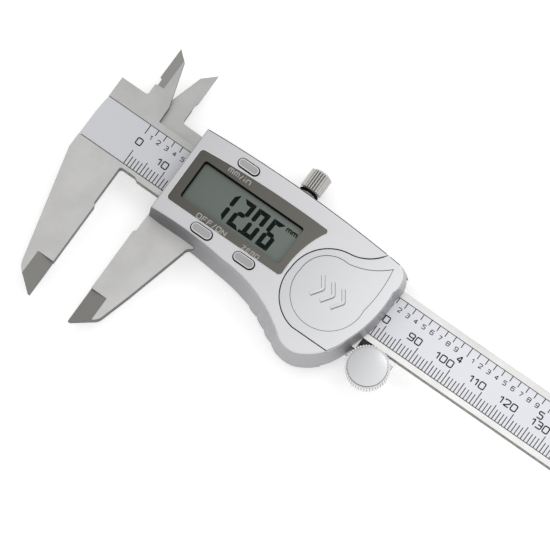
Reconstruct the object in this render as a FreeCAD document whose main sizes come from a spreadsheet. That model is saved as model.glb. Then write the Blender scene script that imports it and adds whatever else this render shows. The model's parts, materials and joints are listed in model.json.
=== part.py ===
import FreeCAD, Part
import os
import Sketcher

# Digital caliper, 150 mm class, jaws open by the sheet's "opening".
# Origin: centre of the fixed jaw's measuring face. +X along the beam, +Y towards the inside jaws, +Z out of
# the face that carries the scale and the display. Each outline below is drawn about the beam's centre line,
# with X counted from the measuring face of the jaw that it belongs to.

doc = FreeCAD.newDocument("caliper")
sheet = doc.addObject("Spreadsheet::Sheet", "Sizes")

drivingSizes = {
    # travel and the beam
    "opening": 12.06, "beamLineY": 34.0, "beamLength": 222.0,
    "beamWidth": 16.0, "beamThick": 3.5, "runGap": 0.05,
    "labelWidth": 12.6, "labelShift": -0.1, "labelStart": -13.83, "labelEnd": 213.5, "labelDepth": 0.6,
    "stripThick": 0.3, "labelThick": 0.12,
    "rodWidth": 3.9, "rodThick": 1.3, "rodStart": 45.0, "rodTop": 0.4, "rodGap": 0.1,
    "stopLength": 6.0, "stopWidth": 14.0, "stopThick": 1.2,
    # jaws
    "jawReach": 48.3, "jawThinning": 1.2, "jawTipRise": 10.5, "jawTipWidth": 4.8,
    "insideSplit": 0.1, "insideKnifeX": 6.1, "insideKnifeFoot": 15.85,
    # slider frame
    "webThick": 1.8, "webWidth": 23.0, "frameStart": 0.95, "frameEnd": 64.5,
    "railWidth": 3.45, "gibThick": 0.6, "gibStart": 14.1, "gibLength": 47.8,
    # housing
    "housingFront": 8.2, "housingBack": -1.8, "housingDraft": 1.4, "housingWall": 1.5,
    "frontWall": 1.2, "edgeRound": 0.45, "rearDepth": 3.4, "rearGrow": 0.5, "rearStep": 0.5,
    "panelThick": 0.47, "windowLeft": 5.3, "windowBottom": -6.05, "windowLength": 31.2,
    "windowHeight": 11.55,
    # electronics
    "boardBottom": 2.9, "boardThick": 1.0, "boardLength": 39.5, "boardWidth": 21.6,
    "cellRadius": 5.8, "cellHeight": 5.4, "cellX": 48.5, "cellY": -9.5, "cellBottom": 2.05,
    # buttons
    "buttonTop": 8.65, "buttonFoot": 6.45, "buttonGap": 0.12, "buttonTravel": 0.5,
    # battery cover
    "coverBottom": 7.6, "coverTop": 8.22, "markDepth": 0.12,
    # thumb wheel
    "wheelX": 70.05, "wheelRadius": 5.92, "wheelBottom": -0.6, "wheelRim": 4.2, "wheelDome": 1.0,
    "axleRadius": 1.0, "bracketThick": 1.1,
    # lock screw
    "lockX": 30.9, "lockStemRadius": 1.25, "lockKnobRadius": 3.0, "lockKnobFoot": 15.5,
    "lockKnobLength": 6.3, "lockStemFoot": 9.6, "lockPadThick": 0.5,
    # fasteners
    "screwRadius": 0.8, "screwHeadRadius": 1.5, "screwHeadHeight": 0.7, "screwHole": 0.85,
}
for row, (alias, number) in enumerate(drivingSizes.items(), start=1):
    sheet.set("A%d" % row, alias)
    sheet.set("B%d" % row, str(number))
    sheet.setAlias("B%d" % row, alias)
doc.recompute()

nodes = []


def size(formula):
    # the value of a formula written with the sheet's names
    return float(sheet.evalExpression(named(formula, "")))


def named(formula, prefix="Sizes."):
    # the formula with each sheet name given its prefix
    text = str(formula)
    words = []
    word = ""
    for letter in text + " ":
        if letter.isalnum() or letter == ".":
            word += letter
            continue
        words.append(prefix + word if word in drivingSizes else word)
        words.append(letter)
        word = ""
    return "".join(words).strip()


def bind(thing, sizes):
    for prop, formula in sizes.items():
        thing.setExpression(prop, named(formula))


def place(thing, x="0", y="0", z="0", onSlider=False):
    # ties a sub-part to the frame: Y from the beam's centre line, X from its own measuring face
    bind(thing, {
        "Placement.Base.x": "opening + (%s)" % x if onSlider else x,
        "Placement.Base.y": "beamLineY + (%s)" % y,
        "Placement.Base.z": z,
    })


def node(thing, label):
    thing.Label = label
    nodes.append(thing)
    return thing


# ---- primitives ----

def box(name, corner, extent, onSlider=False):
    thing = doc.addObject("Part::Box", name)
    bind(thing, dict(zip(("Length", "Width", "Height"), extent)))
    place(thing, corner[0], corner[1], corner[2], onSlider)
    return thing


def cylinder(name, foot, radius, height, onSlider=False, axis="Z"):
    thing = doc.addObject("Part::Cylinder", name)
    bind(thing, {"Radius": radius, "Height": height})
    turn = {"Z": ((0, 0, 1), 0), "X": ((0, 1, 0), 90), "Y": ((1, 0, 0), -90)}[axis]
    thing.Placement.Rotation = FreeCAD.Rotation(FreeCAD.Vector(*turn[0]), turn[1])
    place(thing, foot[0], foot[1], foot[2], onSlider)
    return thing


def joined(name, shapes):
    thing = doc.addObject("Part::MultiFuse", name)
    thing.Shapes = shapes
    return thing


def cut(name, base, tool):
    thing = doc.addObject("Part::Cut", name)
    thing.Base = base
    thing.Tool = tool
    return thing


def screws(label, places, headFoot, headDepth, shankLength, shankRadius, headRadius, onSlider, slotted=True):
    # screws driven from the back: each head's face lies at headFoot, and the shank points along +Z
    solids = []
    slots = []
    for count, (x, y) in enumerate(places):
        solids.append(cylinder("%s_head%d" % (label, count), (x, y, headFoot), headRadius, headDepth, onSlider))
        shankFoot = "%s + %s" % (headFoot, headDepth)
        solids.append(cylinder("%s_shank%d" % (label, count), (x, y, shankFoot), shankRadius, shankLength,
                               onSlider))
        for turn in (0, 90):
            slot = box("%s_slot%d_%d" % (label, count, turn), (x, y, headFoot),
                       ("%s * 1.3" % headRadius, "0.3", "%s / 2" % headDepth), onSlider)
            slot.Placement.Rotation = FreeCAD.Rotation(FreeCAD.Vector(0, 0, 1), turn)
            across = ("%s * 0.65" % headRadius, "0.15")
            shift = (across[0], across[1]) if turn == 0 else ("-" + across[1], across[0])
            place(slot, "%s - (%s)" % (x, shift[0]), "%s - (%s)" % (y, shift[1]), headFoot, onSlider)
            slots.append(slot)
    return node(cut(label, joined(label + "_blanks", solids), joined(label + "_slots", slots)), label)


# ---- bodies and sketches ----

def body(label, onSlider=False):
    thing = doc.addObject("PartDesign::Body", label)
    place(thing, onSlider=onSlider)
    return node(thing, label)


def sketch(owner, name, level="0", plane="XY_Plane"):
    thing = owner.newObject("Sketcher::SketchObject", name)
    support = [feature for feature in owner.Origin.OriginFeatures if feature.Role == plane][0]
    thing.AttachmentSupport = (support, [""])
    thing.MapMode = "FlatFace"
    bind(thing, {"AttachmentOffset.Base.z": level})
    return thing


def rectangle(owner, left, bottom, length, height):
    # a rectangle whose corner and sides are tied to the sheet
    x, y, dx, dy = size(left), size(bottom), size(length), size(height)
    corners = [(x, y), (x + dx, y), (x + dx, y + dy), (x, y + dy)]
    first = owner.GeometryCount
    points = [FreeCAD.Vector(*corner, 0) for corner in corners]
    for count in range(4):
        owner.addGeometry(Part.LineSegment(points[count], points[(count + 1) % 4]), False)
    for count in range(4):
        owner.addConstraint(Sketcher.Constraint("Coincident", first + count, 2, first + (count + 1) % 4, 1))
        direction = "Horizontal" if count % 2 == 0 else "Vertical"
        owner.addConstraint(Sketcher.Constraint(direction, first + count))
    measures = (
        ("DistanceX", -1, 1, first, 1, x, left), ("DistanceY", -1, 1, first, 1, y, bottom),
        ("DistanceX", first, 1, first, 2, dx, length), ("DistanceY", first + 1, 1, first + 1, 2, dy, height),
    )
    for kind, one, oneEnd, other, otherEnd, number, formula in measures:
        if number == 0:
            continue
        index = owner.addConstraint(Sketcher.Constraint(kind, one, oneEnd, other, otherEnd, number))
        bind(owner, {"Constraints[%d]" % index: formula})


def circle(owner, x, y, radius):
    # a circle whose radius is tied to the sheet
    centre = FreeCAD.Vector(size(x), size(y), 0)
    index = owner.addGeometry(Part.Circle(centre, FreeCAD.Vector(0, 0, 1), size(radius)), False)
    radiusIndex = owner.addConstraint(Sketcher.Constraint("Radius", index, size(radius)))
    bind(owner, {"Constraints[%d]" % radiusIndex: radius})
    for kind, formula in (("DistanceX", x), ("DistanceY", y)):
        if size(formula) != 0:
            place_ = owner.addConstraint(Sketcher.Constraint(kind, -1, 1, index, 3, size(formula)))
            bind(owner, {"Constraints[%d]" % place_: formula})


def outline(owner, stops):
    # a closed outline. A stop is a point, reached by a line, or (middle, end), reached by an arc
    ends = [stop[1] if isinstance(stop[0], tuple) else stop for stop in stops]
    for count, stop in enumerate(stops):
        start = FreeCAD.Vector(*ends[count - 1], 0)
        end = FreeCAD.Vector(*ends[count], 0)
        if (end - start).Length < 1e-6:
            continue
        if isinstance(stop[0], tuple):
            owner.addGeometry(Part.Arc(start, FreeCAD.Vector(*stop[0], 0), end), False)
        else:
            owner.addGeometry(Part.LineSegment(start, end), False)


def grown(stops, amount, leftLimit=None):
    # the same outline moved outwards by an amount; stops run anticlockwise
    ends = [stop[1] if isinstance(stop[0], tuple) else stop for stop in stops]
    directions = []
    for count, stop in enumerate(stops):
        start, end = FreeCAD.Vector(*ends[count - 1], 0), FreeCAD.Vector(*ends[count], 0)
        if isinstance(stop[0], tuple):
            curve = Part.Arc(start, FreeCAD.Vector(*stop[0], 0), end).toShape()
            atStart, atEnd = curve.tangentAt(curve.FirstParameter), curve.tangentAt(curve.LastParameter)
            along = (end - start)
            if atStart.dot(FreeCAD.Vector(*stop[0], 0) - start) < 0:
                atStart, atEnd = atStart * -1, atEnd * -1
            if (curve.valueAt(curve.FirstParameter) - start).Length > 1e-6:
                atStart, atEnd = atEnd * -1, atStart * -1
            directions.append((atStart, along, atEnd))
        else:
            directions.append((end - start, end - start, end - start))

    def outward(direction):
        normal = FreeCAD.Vector(direction.y, -direction.x, 0)
        return normal.normalize()

    def moved(point, normals):
        total = normals[0] + normals[1]
        total.multiply(2 / total.Length ** 2)
        x, y = point[0] + total.x * amount, point[1] + total.y * amount
        return (max(x, leftLimit) if leftLimit is not None else x, y)

    result = []
    for count, stop in enumerate(stops):
        nextDirection = directions[(count + 1) % len(stops)][0]
        end = moved(ends[count], (outward(directions[count][2]), outward(nextDirection)))
        if isinstance(stop[0], tuple):
            across = outward(directions[count][1])
            result.append((moved(stop[0], (across, across)), end))
        else:
            result.append(end)
    return result


def feature(owner, kind, profile, length=None, reversedWay=False, bothWays=False, through=False):
    # a pad or a pocket, whose effect on the volume is compared
    before = owner.Shape.Volume if owner.Shape and not owner.Shape.isNull() else 0.0
    thing = owner.newObject("PartDesign::" + kind, profile.Name + "_" + kind)
    thing.Profile = profile
    thing.Reversed = reversedWay
    thing.Midplane = bothWays
    if through:
        thing.Type = "ThroughAll"
    else:
        bind(thing, {"Length": length})
    profile.Visibility = False
    doc.recompute()
    change = owner.Shape.Volume - before
    if (kind == "Pad") != (change > 0) or abs(change) < 1e-3:
        print("no effect:", owner.Label, thing.Name, round(change, 4))
    return thing


def pad(owner, name, level, length, draw, plane="XY_Plane", **options):
    profile = sketch(owner, name, level, plane)
    draw(profile)
    return feature(owner, "Pad", profile, length, **options)


def pocket(owner, name, level, length, draw, plane="XY_Plane", **options):
    profile = sketch(owner, name, level, plane)
    draw(profile)
    return feature(owner, "Pocket", profile, length, **options)


def frontEdges(owner, level):
    # names of the edges that lie in the plane Z = level, in the body's own frame
    names = []
    for count, edge in enumerate(owner.Tip.Shape.Edges, start=1):
        box_ = edge.BoundBox
        if abs(box_.ZMin - level) < 1e-4 and abs(box_.ZMax - level) < 1e-4:
            names.append("Edge%d" % count)
    return names


def rounded(owner, edges, radius, kind="Fillet"):
    base = owner.Tip
    thing = owner.newObject("PartDesign::" + kind, owner.Label + "_" + kind)
    thing.Base = (base, edges)
    bind(thing, {"Radius" if kind == "Fillet" else "Size": radius})
    doc.recompute()
    return thing


# ---- the beam ----

fixedJawOutline = [
    (222.0, -7.0), (222.0, 7.0), (221.0, 8.0), (0.75, 8.0), (0.6, 12.65), (-3.1, 24.7), (-6.1, 27.35),
    (-6.1, 18.05), (-5.45, 17.8), (-5.35, 15.75), (-5.9, 15.55), (-5.9, 12.9), ((-6.1, 12.35), (-6.65, 12.15)),
    (-13.9, 12.15), (-13.9, 6.1), ((-14.25, 2.0), (-14.35, -2.0)),
    (-14.45, -10.6), (-6.65, -42.2), ((-5.9, -43.7), (-4.7, -44.8)), (-0.6, -48.3), (0.0, -48.3),
    (0.0, -19.8), (-0.5, -18.9), (-0.5, -8.2), ((-0.25, -7.65), (0.3, -7.45)), (4.1, -7.45), (5.1, -8.0),
    (221.0, -8.0),
]


def jawTaper(owner, name, side, width, knifeX, start, reach, backToo=True):
    # thins a jaw towards its measuring edge: a sloping cut along Y from start over reach
    half = size("beamThick") / 2
    deep = size("jawThinning")
    slopes = (1, -1) if backToo else (1,)
    for count, face in enumerate(slopes):
        corners = [(knifeX + side * width, face * half), (knifeX - side * 0.2, face * (half - deep)),
                   (knifeX - side * 0.2, face * (half + 0.3)), (knifeX + side * width, face * (half + 0.3))]
        pocket(owner, "%s%d" % (name, count), start, reach, lambda profile: outline(profile, corners),
               plane="XZ_Plane", reversedWay=True)


def makeBeam():
    beam = body("main_beam")
    pad(beam, "beam_outline", "0", "beamThick", lambda profile: outline(profile, fixedJawOutline),
        bothWays=True)
    pocket(beam, "inside_jaw_back", "insideSplit", "beamThick",
           lambda profile: rectangle(profile, "-16", "beamWidth / 2 + runGap", "18", "20"))
    pocket(beam, "label_recess", "beamThick / 2", "labelDepth",
           lambda profile: rectangle(profile, "labelStart - 3", "labelShift - labelWidth / 2",
                                     "labelEnd - labelStart + 3", "labelWidth"))
    pocket(beam, "rod_groove", "-0.2", "beamThick",
           lambda profile: rectangle(profile, "rodStart - 1", "0 - rodWidth / 2 - rodGap",
                                     "beamLength - rodStart + 3", "rodWidth + 2 * rodGap"))

    def stopHoles(profile):
        for y in ("5", "-5"):
            circle(profile, "beamLength - stopLength / 2", y, "screwHole")
    pocket(beam, "stop_screw_holes", "0.45", "beamThick", stopHoles)
    # the measuring tips are thinned from both faces
    jawTaper(beam, "fixed_tip", -1, size("jawTipWidth"), 0.0, "jawReach - jawTipRise", "jawTipRise + 1")
    # the inside jaw's knife edge is ground on its front only
    half = size("beamThick") / 2
    knife = -size("insideKnifeX")
    corners = [(knife + 2.7, half), (knife - 0.2, 0.35), (knife - 0.2, half + 0.3), (knife + 2.7, half + 0.3)]
    pocket(beam, "inside_knife", "0 - insideKnifeFoot", "12", lambda profile: outline(profile, corners),
           plane="XZ_Plane")
    return beam


def makeScale():
    low, high = size("labelShift - labelWidth / 2 + 0.03"), size("labelShift + labelWidth / 2 - 0.03")
    left, right = size("labelStart"), size("labelEnd - 0.03")
    stripOutline = [(right, low), (right, high), (left, high), ((left - 0.4, 2.0), (left - 0.5, -2.0)),
                    (left - 0.56, low)]
    recess = "beamThick / 2 - labelDepth"
    for label, foot, thick in (("grid_strip", recess, "stripThick"),
                               ("scale_label", recess + " + stripThick", "labelThick")):
        pad(body(label), label + "_outline", foot, thick, lambda profile: outline(profile, stripOutline))


def makeStop():
    stop = body("stop_plate")
    back = "0 - beamThick / 2"
    pad(stop, "stop_outline", back, "stopThick",
        lambda profile: rectangle(profile, "beamLength - stopLength", "0 - stopWidth / 2", "stopLength",
                                  "stopWidth"), reversedWay=True)

    def holes(profile):
        for y in ("5", "-5"):
            circle(profile, "beamLength - stopLength / 2", y, "screwHole")
    pocket(stop, "stop_holes", back, "stopThick", holes)
    screws("stop_plate_screws", [("beamLength - stopLength / 2", "5"), ("beamLength - stopLength / 2", "-5")],
           "0 - beamThick / 2 - stopThick - 0.6", "0.6", "3.0", "screwRadius", "screwHeadRadius", False)


# ---- the slider's frame ----

slidingJawOutline = [
    (64.5, -8.05), (0.65, -8.05), (0.6, -18.7), (0.0, -19.4), (0.0, -48.2), (0.6, -48.2), (5.0, -44.5),
    ((6.15, -43.5), (6.75, -42.3)), (9.1, -34.3), (13.7, -16.6), ((14.2, -15.2), (15.3, -14.4)), (15.3, -11.5),
    (64.5, -11.5),
]
insideArmOutline = [
    (1.2, 8.05), (1.2, 11.5), (-5.9, 11.6), (-6.5, 12.1), (-6.5, 17.2), (-6.1, 18.0), (-6.1, 27.1),
    (-9.55, 23.9), (-12.2, 15.1), (-13.1, 12.0), (-13.4, 8.05),
]
upperRailOutline = [
    (64.5, 8.05), (64.5, 11.5), (0.95, 11.5), (0.95, 8.05), (14.0, 8.05), (14.0, 8.9), (62.0, 8.9),
    (62.0, 8.05),
]
housingScrewPlaces = [("5", "9.8"), ("5", "-9.8"), ("58", "9.8"), ("58", "-9.8")]
rodScrewPlaces = [("rodStart + 2", "0"), ("rodStart + 6", "0")]
gibScrewPlaces = ("22", "52")


def makeSliderFrame():
    frame = body("slider_frame", onSlider=True)
    pad(frame, "sliding_jaw", "0", "beamThick", lambda profile: outline(profile, slidingJawOutline),
        bothWays=True)
    railFoot = "0 - beamThick / 2 - runGap"
    webOutline = ("frameStart", "0 - webWidth / 2", "frameEnd - frameStart", "webWidth")
    pad(frame, "web", railFoot, "webThick", lambda profile: rectangle(profile, *webOutline), reversedWay=True)
    pad(frame, "lower_rail", railFoot, "beamThick + runGap",
        lambda profile: rectangle(profile, "frameStart", "0 - webWidth / 2", "frameEnd - frameStart",
                                  "railWidth"))
    pad(frame, "upper_rail", railFoot, "beamThick + runGap",
        lambda profile: outline(profile, upperRailOutline))
    pad(frame, "inside_arm", "0 - insideSplit", "beamThick / 2 - insideSplit",
        lambda profile: outline(profile, insideArmOutline), reversedWay=True)
    pad(frame, "rod_boss", railFoot, "runGap + 0.05",
        lambda profile: rectangle(profile, "rodStart - 0.5", "0 - rodWidth / 2", "8.5", "rodWidth"))

    def screwHoles(profile):
        for x, y in housingScrewPlaces:
            circle(profile, x, y, "screwHole")
    pocket(frame, "housing_screw_holes", "3", "8", screwHoles)

    def rodHoles(profile):
        for x, y in rodScrewPlaces:
            circle(profile, x, y, "0.65")
    pocket(frame, "rod_screw_holes", "0", "5", rodHoles)

    def rodHeads(profile):
        for x, y in rodScrewPlaces:
            circle(profile, x, y, "1.15")
    pocket(frame, "rod_screw_heads", railFoot + " - webThick", "0.75", rodHeads, reversedWay=True)

    def lockHole(profile):
        circle(profile, "lockX", "0", "lockStemRadius + 0.05")
        for x in gibScrewPlaces:
            circle(profile, x, "0", "1.05")
    pocket(frame, "lock_hole", "-13", "6", lockHole, plane="XZ_Plane", reversedWay=True)
    jawTaper(frame, "sliding_tip", 1, size("jawTipWidth") + 0.1, 0.0, "jawReach - jawTipRise",
             "jawTipRise + 1")
    # the inside jaw's knife edge is ground on its back
    half = size("beamThick") / 2
    knife = -size("insideKnifeX")
    corners = [(knife - 2.7, -half), (knife + 0.2, -0.35), (knife + 0.2, -half - 0.3),
               (knife - 2.7, -half - 0.3)]
    pocket(frame, "sliding_knife", "0 - insideKnifeFoot", "12", lambda profile: outline(profile, corners),
           plane="XZ_Plane")
    return frame


def makeGib():
    node(box("gib", ("gibStart", "beamWidth / 2 + 0.06", "-1.6"), ("gibLength", "gibThick", "3.2"), True),
         "gib")
    solids = [cylinder("gib_screw%d" % count, (x, "8.7", "0"), "1.0", "2.7", True, "Y")
              for count, x in enumerate(gibScrewPlaces)]
    slots = [box("gib_screw_slot%d" % count, ("%s - 1.2" % x, "11.0", "-0.15"), ("2.4", "0.6", "0.3"), True)
             for count, x in enumerate(gibScrewPlaces)]
    node(cut("gib_set_screws", joined("gib_screw_blanks", solids), joined("gib_screw_slots", slots)),
         "gib_set_screws")


def makeDepthRod():
    rod = body("depth_rod", onSlider=True)
    top = "0 - rodTop"
    pad(rod, "rod_section", top, "rodThick",
        lambda profile: rectangle(profile, "rodStart", "0 - rodWidth / 2", "beamLength - rodStart",
                                  "rodWidth"), reversedWay=True)
    # the rod's foot is relieved on one side, to measure into a corner
    pocket(rod, "rod_foot_relief", "0", "4",
           lambda profile: rectangle(profile, "beamLength - 4", "0 - rodWidth / 2 - 0.1", "5", "1.6"))

    def holes(profile):
        for x, y in rodScrewPlaces:
            circle(profile, x, y, "0.65")
    pocket(rod, "rod_holes", "0", "4", holes)
    screws("depth_rod_screws", rodScrewPlaces, "0 - beamThick / 2 - runGap - webThick + 0.05", "0.65", "2.3",
           "0.6", "1.1", True)


# ---- the housing ----

caseOutline = [
    (0.95, -12.7), ((12.0, -12.35), (23.7, -13.3)), ((37.0, -15.75), (46.4, -20.8)),
    ((50.6, -22.8), (55.2, -21.6)), ((59.9, -17.2), (62.2, -12.0)), ((64.5, -4.0), (64.75, 5.0)),
    ((64.3, 10.2), (62.3, 11.9)), ((31.0, 13.5), (0.95, 12.6)),
]
panelOutline = [
    (37.2, -8.4), ((38.25, -8.1), (38.6, -7.0)), ((39.3, 1.0), (41.6, 7.2)),
    ((41.75, 8.35), (40.8, 8.7)), ((22.0, 8.75), (4.0, 7.6)), ((3.0, 7.2), (2.7, 6.3)), (2.7, -7.4),
    ((3.0, -8.2), (3.7, -8.5)),
]
coverOutline = [
    (59.5, -17.4), ((61.1, -14.8), (62.15, -12.0)), ((64.45, -4.0), (64.7, 5.0)), ((64.2, 10.15), (62.3, 11.85)),
    (58.1, 12.3), ((54.8, 8.7), (50.2, 6.8)), ((43.1, 3.5), (39.6, -5.0)), ((41.9, -13.3), (48.8, -17.4)),
]
coverMark = [
    ((57.0, 6.7), (51.0, 4.55)), ((44.0, 2.1), (41.7, -3.8)), ((44.6, -12.2), (51.3, -14.8)),
    ((58.7, -11.6), (61.4, -3.3)), ((61.95, 3.5), (61.3, 10.1)),
]
bracketOutline = [
    (50.4, -19.8), (55.5, -19.6), (59.0, -15.5), (62.0, -13.8), (66.0, -13.7), ((70.5, -18.2), (74.8, -13.0)),
    (74.8, -9.2), (65.2, -9.2), (65.2, -11.7), (50.4, -11.7),
]
bracketScrewPlaces = [("52.5", "-18.0"), ("57.5", "-14.2")]
buttonPlaces = {
    "mm_inch_button": (15.4, 10.4, 6.0, 2.25),
    "power_button": (15.3, -10.4, 6.0, 2.5),
    "zero_button": (28.6, -10.4, 6.0, 2.5),
}


def oval(x, y, length, width, grow=0.0):
    # a button's outline: two straight sides and two round ends
    rise = width / 2 + grow
    straight = length / 2 + grow - rise
    return [
        (x + straight, y - rise), ((x + straight + rise, y), (x + straight, y + rise)),
        (x - straight, y + rise), ((x - straight - rise, y), (x - straight, y - rise)),
    ]


def makeHousing():
    housing = body("front_housing", onSlider=True)
    left = size("frameStart")
    front = sketch(housing, "housing_front_outline", "housingFront")
    outline(front, caseOutline)
    back = sketch(housing, "housing_back_outline", "housingBack")
    outline(back, grown(caseOutline, size("housingDraft"), left))
    shell = housing.newObject("PartDesign::AdditiveLoft", "housing_loft")
    shell.Profile = front
    shell.Sections = [back]
    shell.Ruled = True
    doc.recompute()
    rounded(housing, frontEdges(housing, size("housingFront")), "edgeRound")
    inner = grown(caseOutline, -size("housingWall"))
    pocket(housing, "housing_cavity", "housingBack", "housingFront - frontWall - housingBack",
           lambda profile: outline(profile, inner), reversedWay=True)

    def bosses(profile):
        for x, y in housingScrewPlaces:
            circle(profile, x, y, "2")
    pad(housing, "screw_bosses", "beamThick / 2 + 0.1", "housingFront - frontWall - beamThick / 2", bosses)

    def bracketBosses(profile):
        for x, y in bracketScrewPlaces:
            circle(profile, x, y, "1.8")
    pad(housing, "bracket_bosses", "housingBack + bracketThick + 0.05",
        "housingFront - frontWall - housingBack - bracketThick", bracketBosses)
    pocket(housing, "rail_way", "housingBack", "beamThick + runGap + 0.1",
           lambda profile: rectangle(profile, "-2", "0 - webWidth / 2 - 0.1", "72", "webWidth + 0.2"),
           reversedWay=True)
    pocket(housing, "jaw_way", "housingBack", "beamThick + runGap + 0.1",
           lambda profile: rectangle(profile, "-2", "-20", "18.1", "9"), reversedWay=True)
    pocket(housing, "bracket_way", "housingBack", "bracketThick + 0.05",
           lambda profile: rectangle(profile, "50.3", "-20", "18", "9"), reversedWay=True)
    pocket(housing, "panel_recess", "housingFront", "panelThick - 0.02",
           lambda profile: outline(profile, grown(panelOutline, 0.06)))
    pocket(housing, "display_window", "housingFront", "frontWall + 0.1",
           lambda profile: rectangle(profile, "windowLeft", "windowBottom", "windowLength", "windowHeight"))

    def buttonHoles(profile):
        for x, y, length, width in buttonPlaces.values():
            outline(profile, oval(x, y, length, width, size("buttonGap")))
    pocket(housing, "button_holes", "housingFront", "housingFront - buttonFoot + buttonTravel + 0.1", buttonHoles)

    def flangeRooms(profile):
        for x, y, length, width in buttonPlaces.values():
            rectangle(profile, str(x - length / 2 - 0.6), str(y - width * 0.3 - 0.15), str(length + 1.2),
                      str(width * 0.6 + 0.3))
    pocket(housing, "flange_rooms", "housingFront - frontWall + 0.02",
           "housingFront - frontWall - buttonFoot + buttonTravel + 0.1", flangeRooms)
    pocket(housing, "cover_recess", "housingFront", "housingFront - coverBottom + 0.05",
           lambda profile: outline(profile, openCover()))
    pocket(housing, "battery_well", "housingFront", "frontWall + 0.1",
           lambda profile: circle(profile, "cellX", "cellY", "cellRadius + 0.3"))

    def gasketGroove(profile):
        circle(profile, "cellX", "cellY", "cellRadius + 1.3")
        circle(profile, "cellX", "cellY", "cellRadius + 0.7")
    pocket(housing, "gasket_groove", "housingFront", "housingFront - coverBottom + 0.3", gasketGroove)

    def screwHoles(profile):
        for x, y in housingScrewPlaces:
            circle(profile, x, y, "screwHole")
    pocket(housing, "boss_holes", "5.4", "8", screwHoles)

    def bracketHoles(profile):
        for x, y in bracketScrewPlaces:
            circle(profile, x, y, "0.75")
    pocket(housing, "bracket_boss_holes", "2.2", "8", bracketHoles)
    pocket(housing, "lock_way", "-18", "8", lambda profile: circle(profile, "lockX", "0", "2.1"),
           plane="XZ_Plane", reversedWay=True)
    return housing


def openCover():
    # the battery cover's seat: its own outline with play, open past the housing's right end
    return [
        (70.0, -17.56), (70.0, 14.2), (59.6, 14.2), (57.98, 12.4), ((54.68, 8.84), (50.15, 6.96)),
        ((42.98, 3.6), (39.44, -5.0)), ((41.78, -13.4), (48.76, -17.56)),
    ]


def makeRearCover():
    cover = body("rear_cover", onSlider=True)
    left = size("frameStart")
    pad(cover, "rear_outline", "housingBack", "rearDepth - rearStep",
        lambda profile: outline(profile, grown(caseOutline, size("rearGrow"), left)), reversedWay=True)
    pad(cover, "rear_step", "housingBack - rearDepth", "rearStep",
        lambda profile: outline(profile, grown(caseOutline, size("rearGrow - rearStep"), left + 0.4)))
    pocket(cover, "web_seat", "housingBack", "webThick + 0.05",
           lambda profile: rectangle(profile, "-2", "0 - webWidth / 2 - 0.1", "72", "webWidth + 0.2"))

    def screwHoles(profile):
        for x, y in housingScrewPlaces:
            circle(profile, x, y, "screwHole")
    pocket(cover, "rear_screw_holes", "0", "8", screwHoles)

    def heads(profile):
        for x, y in housingScrewPlaces:
            circle(profile, x, y, "screwHeadRadius + 0.1")
    pocket(cover, "rear_screw_heads", "housingBack - rearDepth", "screwHeadHeight + 0.1", heads,
           reversedWay=True)
    screws("housing_screws", housingScrewPlaces, "housingBack - rearDepth + 0.1", "screwHeadHeight", "9.2",
           "screwRadius", "screwHeadRadius", True)


def makePanel():
    panel = body("display_panel", onSlider=True)
    pad(panel, "panel_outline", "housingFront + 0.02", "panelThick",
        lambda profile: outline(profile, panelOutline), reversedWay=True)
    pocket(panel, "panel_window", "housingFront + 1", "3",
           lambda profile: rectangle(profile, "windowLeft", "windowBottom", "windowLength", "windowHeight"))


def makeDisplay():
    top = "housingFront - frontWall - 0.05"
    node(box("lcd_glass", ("4.2", "-7.8", top + " - 0.65"), ("33.4", "15.2", "0.65"), True), "lcd_glass")
    node(box("lcd_reflector", ("4.6", "-6.2", top + " - 0.9"), ("32.6", "12", "0.22"), True), "lcd_reflector")
    foot = "boardBottom + boardThick"
    strips = [box("zebra%d" % count, ("6", y, foot), ("30", "1.2", top + " - 0.65 - (" + foot + ")"), True)
              for count, y in enumerate(("-7.6", "6.2"))]
    node(joined("zebra_strips", strips), "zebra_strips")


def makeBoard():
    board = body("circuit_board", onSlider=True)
    pad(board, "board_outline", "boardBottom", "boardThick",
        lambda profile: rectangle(profile, "2.6", "0 - boardWidth / 2", "boardLength", "boardWidth"))

    def clearances(profile):
        for x, y in housingScrewPlaces[:2]:
            circle(profile, x, y, "2.1")
    pocket(board, "board_clearances", "6", "8", clearances)
    foot = "boardBottom + boardThick"
    chip = doc.addObject("Part::Cone", "measuring_chip")
    bind(chip, {"Radius1": "4.2", "Radius2": "3.0", "Height": "1.2"})
    place(chip, "18", "0", foot, True)
    node(chip, "measuring_chip")
    small = [("27", "3"), ("30", "3"), ("33", "3"), ("10", "3"), ("10", "-3"), ("33", "-3")]
    solids = [box("capacitor%d" % count, (x, y, foot), ("1.6", "0.8", "0.7"), True)
              for count, (x, y) in enumerate(small)]
    node(joined("board_components", solids), "board_components")
    node(cylinder("quartz_crystal", ("25", "-4", foot + " + 0.95"), "0.9", "6", True, "X"), "quartz_crystal")
    pads = [cylinder("button_pad%d" % count, (str(x), str(y * 0.92), foot), "0.95", "1.7", True)
            for count, (x, y, length, width) in enumerate(buttonPlaces.values())]
    node(joined("button_pads", pads), "button_pads")


def makeButtons():
    for label, (x, y, length, width) in buttonPlaces.items():
        button = body(label, onSlider=True)
        pad(button, label + "_top", "buttonFoot", "buttonTop - buttonFoot",
            lambda profile: outline(profile, oval(x, y, length, width)))
        rounded(button, frontEdges(button, size("buttonTop")), "0.25")
        pad(button, label + "_flange", "buttonFoot", "0.4",
            lambda profile: rectangle(profile, str(x - length / 2 - 0.45), str(y - width * 0.3),
                                      str(length + 0.9), str(width * 0.6)))


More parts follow.
